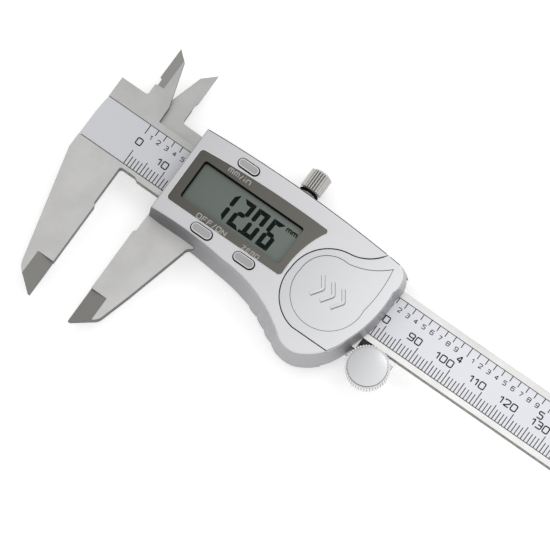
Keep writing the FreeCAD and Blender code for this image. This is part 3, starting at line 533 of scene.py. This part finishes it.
def makeScale():
    cfg = scalePrint
    top = labelHigh.z
    ink = materials["printInk"]
    thick = cfg["inkThick"] * mm

    def row(name, count, pitch, startX, edge, length, downwards=False):
        middle = edge - length / 2 if downwards else edge + length / 2
        grow(name, barRow, {
            "Count": count, "Pitch": pitch * mm,
            "First": (startX * mm, beamY + middle * mm, top + thick / 2),
            "Bar": (cfg["lineWidth"] * mm, length * mm, thick), "Ink": ink}, "beam")
    zero, low, high = cfg["zeroShift"], cfg["lowerEdge"], cfg["upperEdge"]
    row("scale_mm_ticks", cfg["millimetres"], 1.0, zero, low, cfg["tick"])
    row("scale_five_ticks", (cfg["millimetres"] + 4) // 5, 5.0, zero, low + cfg["tick"], cfg["tickFive"])
    row("scale_ten_ticks", (cfg["millimetres"] + 9) // 10, 10.0, zero,
        low + cfg["tick"] + cfg["tickFive"], cfg["tickTen"])
    inchZero = zero + cfg["inchShift"]
    row("scale_tenth_ticks", cfg["tenths"], 2.54, inchZero, high, cfg["tenthTick"], True)
    inches = cfg["tenths"] // 10 + 1
    row("scale_inch_ticks", inches, 25.4, inchZero, high - cfg["tenthTick"], cfg["inchTick"], True)
    points, faces = [], []
    low, high = top, top + thick
    big = scaled(numberStyle)
    for number in range(0, cfg["millimetres"], 10):
        x = (zero + number) * mm
        if number == 0:
            place, side = Vector((x, beamY + cfg["zeroFoot"] * mm)), "middle"
        else:
            place, side = Vector((x - cfg["numberShift"] * mm, beamY + cfg["numberFoot"] * mm)), "right"
        write(points, faces, str(number), place, big, low, high, side)
    for tenth in range(1, cfg["tenths"]):
        x = (inchZero + tenth * 2.54) * mm
        if tenth % 10:
            place = Vector((x - cfg["tenthShift"] * mm, beamY + cfg["smallFoot"] * mm))
            write(points, faces, str(tenth % 10), place, scaled(smallStyle), low, high, "right")
        else:
            place = Vector((x - cfg["tenthShift"] * mm, beamY + cfg["bigFoot"] * mm))
            write(points, faces, str(tenth // 10), place, scaled(inchStyle), low, high, "right")
    piece("scale_numerals", points, faces, "printInk", "beam")
    points, faces = [], []
    # painted shade: thin dark lines along both edges of the label, where the edge of its recess is in shade
    lowerInset, upperInset = cfg["borderInsets"]
    rows = (labelLow.y + lowerInset * mm, labelHigh.y - upperInset * mm)
    for y, width in zip(rows, cfg["borderWidths"]):
        path = [Vector((labelLow.x + cfg["borderStart"] * mm, y)), Vector((labelHigh.x, y))]
        ribbon(points, faces, path, width * mm, low, high)
    piece("scale_border_shade", points, faces, "recessShadeGrey", "beam")


makeScale()
print("scale printed")

# the display

digits = {
    "height": 8.35, "width": 3.6, "bar": 1.2, "gap": 0.02, "notch": 0.2, "lean": 0.055, "foot": -4.9,
    "starts": (("1", 14.1), ("2", 18.95), ("0", 23.4), ("6", 28.05)), "pointX": 22.55, "ink": 0.02,
    "unitX": 32.75, "unitY": 2.4,
}
segmentsOf = {"0": "abcdef", "1": "bc", "2": "abged", "6": "afgcde"}


def segmentShapes(cfg):
    tall, wide, bar, gap = cfg["height"], cfg["width"], cfg["bar"], cfg["gap"]
    middle = tall / 2
    half = bar / 2
    slant = half * 0.6  # how far a bar's point stands out from its end
    over, under = middle + cfg["notch"], middle - cfg["notch"]
    return {
        "a": [(gap, tall), (wide - gap, tall), (wide - gap - bar, tall - bar), (gap + bar, tall - bar)],
        "d": [(gap, 0), (wide - gap, 0), (wide - gap - bar, bar), (gap + bar, bar)],
        "g": [(gap + half, middle), (bar + gap, middle + half), (wide - bar - gap, middle + half),
              (wide - gap - half, middle), (wide - bar - gap, middle - half), (bar + gap, middle - half)],
        "f": [(0, tall - gap), (bar, tall - bar - gap), (bar, over + slant), (half, over),
              (0, over + slant)],
        "e": [(0, gap), (bar, bar + gap), (bar, under - slant), (half, under), (0, under - slant)],
        "b": [(wide, tall - gap), (wide - bar, tall - bar - gap), (wide - bar, over + slant),
              (wide - half, over), (wide, over + slant)],
        "c": [(wide, gap), (wide - bar, bar + gap), (wide - bar, under - slant), (wide - half, under),
              (wide, under - slant)],
    }


def prism(points, faces, corners, low, high):
    area = sum(a.x * b.y - b.x * a.y for a, b in zip(corners, corners[1:] + corners[:1]))
    corners = corners if area > 0 else corners[::-1]
    first, count = len(points), len(corners)
    points.extend((corner.x, corner.y, high) for corner in corners)
    points.extend((corner.x, corner.y, low) for corner in corners)
    faces.append(tuple(range(first, first + count)))
    faces.append(tuple(range(first + 2 * count - 1, first + count - 1, -1)))
    for index in range(count):
        after = (index + 1) % count
        faces.append((first + index, first + count + index, first + count + after, first + after))


def makeDisplay():
    cfg = digits
    points, faces = [], []
    low, high = glassTop, glassTop + cfg["ink"] * mm
    shapes = segmentShapes(cfg)
    for digit, startX in cfg["starts"]:
        for segment in segmentsOf[digit]:
            corners = []
            for x, y in shapes[segment]:
                spot = onSlider(startX + x + y * cfg["lean"], cfg["foot"] + y)
                corners.append(Vector((spot.x, spot.y)))
            prism(points, faces, corners, low, high)
    side = 0.8
    corners = [onSlider(cfg["pointX"] + x, cfg["foot"] + y) for x, y in
               ((0, 0), (side, 0), (side + 0.08, side), (0.08, side))]
    prism(points, faces, [Vector((corner.x, corner.y)) for corner in corners], low, high)
    style = {"height": 1.0 * mm, "width": 1.3 * mm, "gap": 0.42 * mm, "stroke": 0.34 * mm, "round": 0.08}
    spot = onSlider(cfg["unitX"], cfg["unitY"])
    write(points, faces, "mm", Vector((spot.x, spot.y)), style, low, high)
    piece("display_digits", points, faces, "segmentInk", "slider")


makeDisplay()


def topLoops(nodeName, level, tolerance=0.02 * mm):
    # the closed edges of a node's flat face at a level, as lists of points, longest first
    work = bmesh.new()
    work.from_mesh(nodes[nodeName].data)
    bmesh.ops.remove_doubles(work, verts=work.verts, dist=0.001 * mm)
    flat = {face for face in work.faces
            if abs(face.normal.z) > 0.99 and abs(face.calc_center_median().z - level) < tolerance}
    links = {}
    for edge in work.edges:
        if sum(1 for face in edge.link_faces if face in flat) == 1:
            one, two = edge.verts
            links.setdefault(one.index, []).append(two.index)
            links.setdefault(two.index, []).append(one.index)
    work.verts.ensure_lookup_table()
    loops, seen = [], set()
    for start in links:
        if start in seen:
            continue
        loop, here, before = [], start, None
        while here not in seen:
            seen.add(here)
            loop.append(work.verts[here].co.to_2d())
            onward = [other for other in links[here] if other != before and other not in seen]
            if not onward:
                break
            before, here = here, onward[0]
        loops.append(loop)
    work.free()
    lengths = [sum((a - b).length for a, b in zip(loop, loop[1:] + loop[:1])) for loop in loops]
    order = sorted(range(len(loops)), key=lambda index: -lengths[index])
    return [loops[index] for index in order]


def thinned(loop, reach):
    # drops points that are closer together than reach
    kept = [loop[0]]
    for point in loop[1:]:
        if (point - kept[-1]).length > reach:
            kept.append(point)
    if (kept[-1] - kept[0]).length < reach:
        kept.pop()
    return kept


panelTrim = {"rimWidth": 0.16, "rimRise": 0.05, "linerWidth": 0.42, "linerShift": (0.17, -0.17),
             "cornerRound": 0.8, "rimDepth": 0.3, "linerBend": 0.9, "linerTall": 0.9, "captionThick": 0.012}
captionStyle = {"height": 1.05, "width": 0.95, "gap": 0.42, "stroke": 0.2, "round": 0.22, "mWide": 1.15}
captions = (("OFF/ON", 16.35, -8.1, 1.2), ("ZERO", 28.7, -8.2, 1.0), ("mm/in", 14.9, 6.5, 1.15))


def makePanelTrim():
    cfg = panelTrim
    loops = topLoops("display_panel", panelTop)
    points, faces = [], []
    # painted highlight: a thin bright strip round the panel's bevel
    ribbon(points, faces, thinned(loops[0], 0.03 * mm), cfg["rimWidth"] * mm,
           panelTop - cfg["rimDepth"] * mm, panelTop + cfg["rimRise"] * mm, True)
    piece("panel_rim", points, faces, "paintedHighlight", "slider")
    points, faces = [], []
    # painted shade: a black band inside the window's edge, shifted to one side, where the sunken window's
    # wall is in shade
    shift = Vector(cfg["linerShift"]) * mm
    path = eased([point + shift for point in loops[1]], cfg["linerBend"] * mm, True, 5)
    ribbon(points, faces, path, cfg["linerWidth"] * mm, glassTop, glassTop + cfg["linerTall"] * mm, True)
    piece("window_shade_liner", points, faces, "jointAndShadeBlack", "slider")
    # small pieces that fill the window's corners up to a quarter circle
    points, faces = [], []
    window = loops[1]
    reach = cfg["cornerRound"] * mm
    for index, corner in enumerate(window):
        ahead = (window[(index + 1) % len(window)] - corner).normalized()
        behind = (window[index - 1] - corner).normalized()
        centre = corner + (ahead + behind) * reach
        bend = [centre - behind * reach * math.cos(turn) - ahead * reach * math.sin(turn)
                for turn in (math.pi / 12 * step for step in range(7))]
        for here, after in zip(bend, bend[1:]):
            prism(points, faces, [corner, here, after], glassTop + 0.02 * mm, panelTop)
    piece("window_corners", points, faces, "panel", "slider")
    points, faces = [], []
    for text, x, y, size in captions:
        style = {key: value * size if key in ("height", "width", "gap", "stroke") else value
                 for key, value in captionStyle.items()}
        spot = onSlider(x, y)
        high = panelTop + cfg["captionThick"] * mm
        write(points, faces, text, Vector((spot.x, spot.y)), scaled(style), panelTop, high, "middle")
    piece("panel_captions", points, faces, "captionInk", "slider")


makePanelTrim()
print("display made")

# the battery cover's marks

coverTrim = {"line": 0.3, "markFloor": 0.12, "chevronRise": 0.14, "chevrons": (47.4, 50.6, 53.8),
             "chevronY": -4.6, "chevronReach": 2.1, "chevronHalf": 3.0, "chevronWidth": 0.75,
             "chevronBend": 0.4, "lineThick": 0.02, "shadeWidth": 1.05,
             "shadeShift": (0.1, -0.12)}


def makeCoverTrim():
    cfg = coverTrim
    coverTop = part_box("battery_cover")[1].z
    floor = coverTop - cfg["markFloor"] * mm
    loops = topLoops("battery_cover", floor, 0.01 * mm)
    points, faces = [], []
    high = floor + cfg["lineThick"] * mm
    ribbon(points, faces, thinned(loops[0], 0.05 * mm), cfg["line"] * mm, floor, high, True)
    piece("cover_mark_line", points, faces, "markAndShadeGrey", "cover")
    points, faces = [], []
    shadePoints, shadeFaces = [], []
    # painted highlight and shadow: the raised arrows take a bright finish, and a dark band a little offset
    # from each is its shadow
    for x in cfg["chevrons"]:
        path = [onSlider(x, cfg["chevronY"] + cfg["chevronHalf"]),
                onSlider(x + cfg["chevronReach"], cfg["chevronY"]),
                onSlider(x, cfg["chevronY"] - cfg["chevronHalf"])]
        path = eased([point.to_2d() for point in path], cfg["chevronBend"] * mm, False)
        ribbon(points, faces, path, cfg["chevronWidth"] * mm, floor, floor + cfg["chevronRise"] * mm)
        shade = [point + Vector(cfg["shadeShift"]) * mm for point in path]
        ribbon(shadePoints, shadeFaces, shade, cfg["shadeWidth"] * mm, floor, high)
    piece("cover_slide_arrows", points, faces, "paintedHighlight", "cover")
    piece("cover_arrow_shade", shadePoints, shadeFaces, "arrowShade", "cover")


makeCoverTrim()


# button rims with painted highlights and painted shade round them, the groove round the cover, the painted
# shade block by the wheel

buttonTrim = {
    "rimWidth": 0.2, "rimRise": 0.04, "rimInset": 0.16, "rimDepth": 0.25, "ringWidth": 0.24,
    "ringShift": (0.03, -0.02), "ringGrowth": 0.34, "ringDepth": 0.2, "ringRise": 0.012,
    "buttons": (("mm_inch_button", "unit_button", 6.0, 2.25),
                ("power_button", "power_button_body", 6.0, 2.5),
                ("zero_button", "zero_button_body", 6.0, 2.5)),
}


def stadium(centre, length, width, steps=14):
    # two straight sides and two half circles, as a closed path
    path = []
    for side in (1, -1):
        for step in range(steps + 1):
            turn = side * math.pi / 2 - math.pi * step / steps
            path.append(Vector((centre.x + side * (length - width) / 2 + math.cos(turn) * width / 2,
                                centre.y + math.sin(turn) * width / 2)))
    return path


def makeButtonTrim():
    cfg = buttonTrim
    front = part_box("front_housing")[1].z
    for nodeName, bodyName, length, width in cfg["buttons"]:
        low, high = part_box(nodeName)
        centre = ((low + high) / 2).to_2d()
        points, faces = [], []
        # painted highlight: a thin bright ring on each button's bevel
        inset = 2 * cfg["rimInset"]
        path = stadium(centre, (length - inset) * mm, (width - inset) * mm)
        ribbon(points, faces, path, cfg["rimWidth"] * mm, high.z - cfg["rimDepth"] * mm,
               high.z + cfg["rimRise"] * mm, True)
        piece(nodeName + "_rim", points, faces, "paintedHighlight", bodyName)
        points, faces = [], []
        # a black ring in the gap round each button, shifted a little toward +X: a dark joint with painted
        # shade on one side
        spot = centre + Vector(cfg["ringShift"]) * mm
        path = stadium(spot, (length + cfg["ringGrowth"]) * mm, (width + cfg["ringGrowth"]) * mm)
        ribbon(points, faces, path, cfg["ringWidth"] * mm, front - cfg["ringDepth"] * mm,
               front + cfg["ringRise"] * mm, True)
        piece(nodeName + "_gap_shade", points, faces, "jointAndShadeBlack", "slider")


groove = {"width": 0.26, "gap": 0.12, "thick": 0.006, "drop": 0.006, "end": 2.5, "pointGap": 0.05}


def makeCoverGroove():
    # a black line round the cover, just clear of its edge, open at the right end
    cfg = groove
    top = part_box("battery_cover")[1].z
    loop = topLoops("battery_cover", top)[0]
    middle = sum(loop, Vector((0, 0))) / len(loop)
    end = max(point.x for point in loop) - cfg["end"] * mm
    start = next(index for index in range(len(loop)) if loop[index].x < end <= loop[index - 1].x)
    run = [point for point in loop[start:] + loop[:start] if point.x < end]
    run = thinned(run, cfg["pointGap"] * mm)
    reach = (cfg["width"] / 2 + cfg["gap"]) * mm
    path = []
    for index, here in enumerate(run):
        along = run[min(index + 1, len(run) - 1)] - run[max(index - 1, 0)]
        across = Vector((-along.y, along.x)).normalized()
        path.append(here + across * (reach if across.dot(here - middle) > 0 else -reach))
    points, faces = [], []
    high = top - cfg["drop"] * mm
    ribbon(points, faces, path, cfg["width"] * mm, high - cfg["thick"] * mm, high)
    piece("cover_groove", points, faces, "jointAndShadeBlack", "slider")


edgeShadeLine = {
    "start": (1.3, 12.52), "end": (62.0, 11.85), "rise": 1.24, "width": 0.2, "depth": 0.05, "lift": 0.006,
    "steps": 20,
    "runs": (("housing_edge_shade", "front_housing", 0.0, 0.926, "slider", "housing"),
             ("cover_edge_shade", "battery_cover", 0.945, 1.0, "cover", "cover")),
}


def makeEdgeLines():
    # painted shade: a fine dark line along the upper edge, on the housing and then on the cover, where the
    # rounded edge looks dark
    cfg = edgeShadeLine
    (x0, y0), (x1, y1) = cfg["start"], cfg["end"]
    for name, nodeName, first, last, bodyName, slotName in cfg["runs"]:
        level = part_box(nodeName)[1].z
        points, faces, path = [], [], []
        for step in range(cfg["steps"] + 1):
            share = first + (last - first) * step / cfg["steps"]
            rise = cfg["rise"] * 4 * share * (1 - share)
            path.append(onSlider(x0 + (x1 - x0) * share, y0 + (y1 - y0) * share + rise).to_2d())
        ribbon(points, faces, path, cfg["width"] * mm, level - cfg["depth"] * mm, level + cfg["lift"] * mm)
        piece(name, points, faces, "markAndShadeGrey", bodyName)


wheelGapShade = {"outline": ((61.4, -8.12), (61.4, -9.75), (64.5, -9.75), (66.5, -8.95), (67.3, -8.12)),
         "low": -1.4, "high": 1.55}


def makeWiper():
    # painted shade: a black block under the beam's edge beside the wheel, where the gap between wheel and
    # beam is in shade
    points, faces = [], []
    corners = [onSlider(x, y).to_2d() for x, y in wheelGapShade["outline"]]
    prism(points, faces, corners, wheelGapShade["low"] * mm, wheelGapShade["high"] * mm)
    piece("wheel_gap_shade", points, faces, "seal", "slider")


makeButtonTrim()
makeCoverGroove()
makeEdgeLines()
makeWiper()
print("trim made")

# turned pieces

def lathe(name, profile, centre, axis, finishName, coreShadeFinish, body, sides=96):
    # profile: (radius, distance along the axis) in millimetres, from one end's centre to the other's
    points, faces, rings = [], [], []
    for radius, along in profile:
        ring = []
        for side in range(1 if radius == 0 else sides):
            turn = 2 * math.pi * side / sides
            out, up = radius * math.cos(turn), radius * math.sin(turn)
            offset = Vector((out, up, along)) if axis == "Z" else Vector((up, along, out))
            ring.append(len(points))
            points.append(tuple(centre + offset * mm))
        rings.append(ring)
    for one, two in zip(rings, rings[1:]):
        for side in range(sides):
            after = (side + 1) % sides
            if len(one) == 1:
                faces.append((one[0], two[after], two[side]))
            elif len(two) == 1:
                faces.append((one[side], one[after], two[0]))
            else:
                faces.append((one[side], one[after], two[after], two[side]))
    thing = piece(name, points, faces, finishName, body)
    for polygon in thing.data.polygons:
        polygon.use_smooth = len(polygon.vertices) == 4
    turnOutward(thing)
    thing.data.set_sharp_from_angle(angle=math.radians(28))
    if coreShadeFinish:
        # the band that the ribs stand on, in a darker finish than the lighter ribs: painted shade between
        # them
        thing.data.materials.append(materials[coreShadeFinish])
        reach = max(radius for radius, _ in profile) * mm
        for polygon in thing.data.polygons:
            place = polygon.center - centre
            out = place.to_2d().length if axis == "Z" else Vector((place.x, place.z)).length
            upright = abs(polygon.normal.z if axis == "Z" else polygon.normal.y) < 0.2
            if upright and out > 0.9 * reach:
                polygon.material_index = 1
    return thing


wheelTrim = {"ribs": 48, "ribRadius": 0.3, "rimInset": 0.3, "domeRise": 0.45, "faceInset": 0.75,
             "boreRadius": 1.03, "boreTop": 2.6, "footInset": 0.5, "footChamfer": 0.3, "shoulderDrop": 0.3,
             "rimDrop": 0.45, "bandDrop": 0.4, "bandInset": 0.08, "ribFoot": 0.15, "ribDrop": 0.3}


def makeWheel():
    cfg = wheelTrim
    low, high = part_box("thumb_wheel")
    radius = (high.x - low.x) / 2 / mm
    foot, top = low.z / mm, high.z / mm
    rim = radius - cfg["rimInset"]
    face = radius - cfg["faceInset"]
    centre = Vector(((low.x + high.x) / 2, (low.y + high.y) / 2, 0.0))
    shoulder = top - cfg["domeRise"] - cfg["shoulderDrop"]
    dome = [(face * step / 8, top - cfg["domeRise"] * (step / 8) ** 2) for step in range(8, -1, -1)]
    profile = [(0, cfg["boreTop"]), (cfg["boreRadius"], cfg["boreTop"]), (cfg["boreRadius"], foot),
               (radius - cfg["footInset"], foot), (rim, foot + cfg["footChamfer"]),
               (rim, shoulder - cfg["rimDrop"]), (face + cfg["bandInset"], shoulder - cfg["bandDrop"]),
               (face, shoulder)]
    wheel = lathe("thumb_wheel_face", profile + dome, centre, "Z", "wheel", "wheelCoreShade", "wheel")
    ribFoot, ribTop = foot + cfg["ribFoot"], shoulder - cfg["ribDrop"]
    grow("thumb_wheel_ribs", ribRing, {
        "Count": cfg["ribs"], "Radius": rim * mm, "Rib Radius": cfg["ribRadius"] * mm,
        "Rib Length": (ribTop - ribFoot) * mm,
        "Centre": centre + Vector((0, 0, (ribTop + ribFoot) / 2 * mm)), "Turn": (0.0, 0.0, 0.0),
        "Finish": materials["wheelRibLit"]}, "wheel")
    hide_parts("thumb_wheel")


knobTrim = {"ribs": 24, "ribRadius": 0.34, "inset": 0.26, "footChamfer": 0.45, "headChamfer": 0.6,
            "height": 6.3, "stemRadius": 1.25, "neckRadius": 1.9, "neckLength": 0.7, "footEase": 0.15,
            "headEase": 0.2, "headDrop": 0.12, "faceInset": 1.1, "ribFoot": 0.5, "ribHead": 0.65,
            "collarBore": 1.3, "collarRadius": 2.75, "collarFoot": 0.3, "collarTop": 0.05}


def makeKnob():
    cfg = knobTrim
    low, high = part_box("lock_screw")
    centre = Vector(((low.x + high.x) / 2, 0.0, (low.z + high.z) / 2))
    radius = (high.x - low.x) / 2 / mm
    foot, head = low.y / mm, high.y / mm
    knobFoot = head - cfg["height"]
    neckFoot = knobFoot - cfg["neckLength"]
    rim = radius - cfg["inset"]
    profile = [(0, foot), (cfg["stemRadius"], foot), (cfg["stemRadius"], neckFoot),
               (cfg["neckRadius"], neckFoot), (cfg["neckRadius"], knobFoot),
               (radius - cfg["footChamfer"] - cfg["footEase"], knobFoot),
               (rim, knobFoot + cfg["footChamfer"]),
               (rim, head - cfg["headChamfer"]),
               (radius - cfg["headChamfer"] - cfg["headEase"], head - cfg["headDrop"]),
               (radius - cfg["faceInset"], head), (0, head)]
    knob = lathe("lock_knob_body", profile, centre, "Y", "knob", "knobCoreShade", "lock_knob")
    ribFoot, ribHead = knobFoot + cfg["ribFoot"], head - cfg["ribHead"]
    grow("lock_knob_ribs", ribRing, {
        "Count": cfg["ribs"], "Radius": rim * mm, "Rib Radius": cfg["ribRadius"] * mm,
        "Rib Length": (ribHead - ribFoot) * mm,
        "Centre": centre + Vector((0, (ribHead + ribFoot) / 2 * mm, 0)),
        "Turn": (math.pi / 2, 0.0, 0.0), "Finish": materials["knobRibLit"]}, "lock_knob")
    # painted shade: a thin black disc at the knob's neck, where the gap under the knob is in shade
    collarFoot, collarTop = knobFoot - cfg["collarFoot"], knobFoot - cfg["collarTop"]
    profile = [(cfg["collarBore"], collarFoot), (cfg["collarRadius"], collarFoot),
               (cfg["collarRadius"], collarTop), (cfg["collarBore"], collarTop),
               (cfg["collarBore"], collarFoot)]
    lathe("lock_knob_shade_collar", profile, centre, "Y", "jointAndShadeBlack", None, "lock_knob", 48)
    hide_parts("lock_screw")


makeWheel()
makeKnob()
print("turned pieces made")

# the flared foot of the housing's lower wall, with the thumb grip's scallops

grip = {"step": 0.22, "front": 7.3, "draft": 0.14, "ridge": 0.34, "ridgePower": 0.6,
        "outline": ((1.2, -14.05), (6.0, -13.85), (12.0, -13.75), (16.1, -13.92), (19.9, -14.23),
                    (23.6, -14.6), (28.0, -14.98), (32.3, -15.77), (36.5, -17.05), (40.5, -18.81),
                    (44.3, -21.03), (46.5, -22.62), (48.9, -23.84), (51.0, -24.2)),
        "flares": ((1.2, 0.3), (5.0, 0.95), (33.0, 0.95), (38.0, 0.65), (43.5, 0.6), (47.0, 0.0),
                   (52.0, 0.0)),
        "scallopStart": 35.5, "scallopEnd": 49.2, "scallops": 4,
        # rows from the foot to the front and round the hidden side: height, flare, ridge, distance inwards
        "rows": ((0.0, 1.0, 1.0, 0.0), (0.45, 0.5, 0.9, 0.04), (0.8, 0.0, 0.7, 0.04), (1.0, 0.0, 0.0, 0.25),
                 (1.0, 0.0, 0.0, 0.7), (0.0, 0.0, 0.0, 0.7))}


def between(table, x):
    # the value at x in a table of (x, value) pairs
    for (x0, value0), (x1, value1) in zip(table, table[1:]):
        if x0 <= x <= x1:
            return value0 + (value1 - value0) * (x - x0) / (x1 - x0)
    return table[0][1] if x < table[0][0] else table[-1][1]


def evenly(path, step):
    # the same path with points a fixed distance apart
    result, spare = [path[0]], 0.0
    for here, after in zip(path, path[1:]):
        length = (after - here).length
        while spare + step <= length:
            spare += step
            result.append(here + (after - here) * (spare / length))
        spare -= length
    return result


def makeGrip():
    cfg = grip
    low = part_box("front_housing")[0].z
    corners = [onSlider(x, y).to_2d() for x, y in cfg["outline"]]
    for _ in range(3):
        # cutting the corners three times makes a smooth curve
        cut = [corners[0]]
        for here, after in zip(corners, corners[1:]):
            cut += [here * 0.75 + after * 0.25, here * 0.25 + after * 0.75]
        corners = cut + [corners[-1]]
    path = evenly(corners, cfg["step"] * mm)
    tall = cfg["front"] - low / mm
    points, faces = [], []
    for index, here in enumerate(path):
        along = path[min(index + 1, len(path) - 1)] - path[max(index - 1, 0)]
        outward = Vector((along.y, -along.x)).normalized()
        x = (here.x - jawX) / mm
        flare = between(cfg["flares"], x)
        share = (x - cfg["scallopStart"]) / (cfg["scallopEnd"] - cfg["scallopStart"])
        ridge = 0.0
        if 0 < share < 1:
            ridge = cfg["ridge"] * abs(math.sin(math.pi * share * cfg["scallops"])) ** cfg["ridgePower"]
        for up, flareShare, ridgeShare, inwards in cfg["rows"]:
            out = flare * flareShare + ridge * ridgeShare - inwards
            spot = here + outward * (out - cfg["draft"] * up * tall) * mm
            points.append((spot.x, spot.y, low + 0.01 * mm + up * tall * mm))
    size = len(cfg["rows"])
    for index in range(len(path) - 1):
        one, two = size * index, size * (index + 1)
        for corner in range(size):
            after = (corner + 1) % size
            faces.append((one + corner, two + corner, two + after, one + after))
    last = size * (len(path) - 1)
    faces.append(tuple(range(size)))
    faces.append(tuple(last + corner for corner in reversed(range(size))))
    thing = piece("thumb_grip", points, faces, "housing", "slider", smooth=True)
    turnOutward(thing)
    thing.data.set_sharp_from_angle(angle=math.radians(50))


makeGrip()

# floor, light, camera

stage = {"floorSize": 3.0, "floorGlow": 0.38, "lens": 640.0, "sensor": 36.0, "frameWidth": 0.1414,
         "aim": (0.04857, 0.02634, 0.00175), "azimuth": 35.45, "elevation": 77.3,
         "sunStrength": 0.3, "sunAngle": 25.0, "sunFrom": (0.15, 0.7, 0.9), "floorTone": 0.93,
         "horizon": 0.42, "zenith": 1.18, "zenithHeight": 0.85}


def makeStage():
    cfg = stage
    half = cfg["floorSize"] / 2
    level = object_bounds()[0].z - 0.0001
    mesh = bpy.data.meshes.new("floor")
    corners = [(x, y, level) for x, y in ((-half, -half), (half, -half), (half, half), (-half, half))]
    mesh.from_pydata(corners, [], [(0, 1, 2, 3)])
    floor = bpy.data.objects.new("floor", mesh)
    bpy.context.scene.collection.objects.link(floor)
    paint = bpy.data.materials.new("floorPaint")
    paint.use_nodes = True
    shader = paint.node_tree.nodes["Principled BSDF"]
    shader.inputs["Base Color"].default_value = (cfg["floorTone"],) * 3 + (1.0,)
    shader.inputs["Roughness"].default_value = 0.9
    shader.inputs["Specular IOR Level"].default_value = 0.0
    shader.inputs["Emission Color"].default_value = (1.0, 1.0, 1.0, 1.0)
    shader.inputs["Emission Strength"].default_value = cfg["floorGlow"]
    mesh.materials.append(paint)
    # a bright overhead dome that falls off to the horizon
    world = bpy.data.worlds.new("studio")
    bpy.context.scene.world = world
    world.use_nodes = True
    tree = world.node_tree
    tree.nodes.clear()
    direction = addNode(tree, "ShaderNodeTexCoord")
    up = addNode(tree, "ShaderNodeSeparateXYZ")
    background = addNode(tree, "ShaderNodeBackground")
    output = addNode(tree, "ShaderNodeOutputWorld")
    tree.links.new(direction.outputs["Generated"], up.inputs[0])
    glow = ramp(tree, up.outputs["Z"], 0.0, cfg["zenithHeight"], cfg["horizon"], cfg["zenith"])
    tree.links.new(glow, background.inputs["Strength"])
    tree.links.new(background.outputs[0], output.inputs["Surface"])
    sun = bpy.data.objects.new("key", bpy.data.lights.new("key", "SUN"))
    sun.data.energy = cfg["sunStrength"]
    sun.data.angle = math.radians(cfg["sunAngle"])
    sun.rotation_euler = Vector(cfg["sunFrom"]).to_track_quat("Z", "Y").to_euler()
    bpy.context.scene.collection.objects.link(sun)
    azimuth, elevation = math.radians(cfg["azimuth"]), math.radians(cfg["elevation"])
    flat = math.cos(elevation)
    back = Vector((math.sin(azimuth) * flat, -math.cos(azimuth) * flat, math.sin(elevation)))
    camera = bpy.data.objects.new("camera", bpy.data.cameras.new("camera"))
    camera.data.lens = cfg["lens"]
    camera.data.sensor_width = cfg["sensor"]
    camera.location = Vector(cfg["aim"]) + back * (cfg["frameWidth"] * cfg["lens"] / cfg["sensor"])
    camera.rotation_mode = "QUATERNION"
    camera.rotation_quaternion = (-back).to_track_quat("-Z", "Y")
    camera.data.clip_start = 0.05
    camera.data.clip_end = 20.0
    bpy.context.scene.collection.objects.link(camera)
    bpy.context.scene.camera = camera
    bpy.context.scene.view_settings.view_transform = "Standard"


makeStage()
print("stage set")
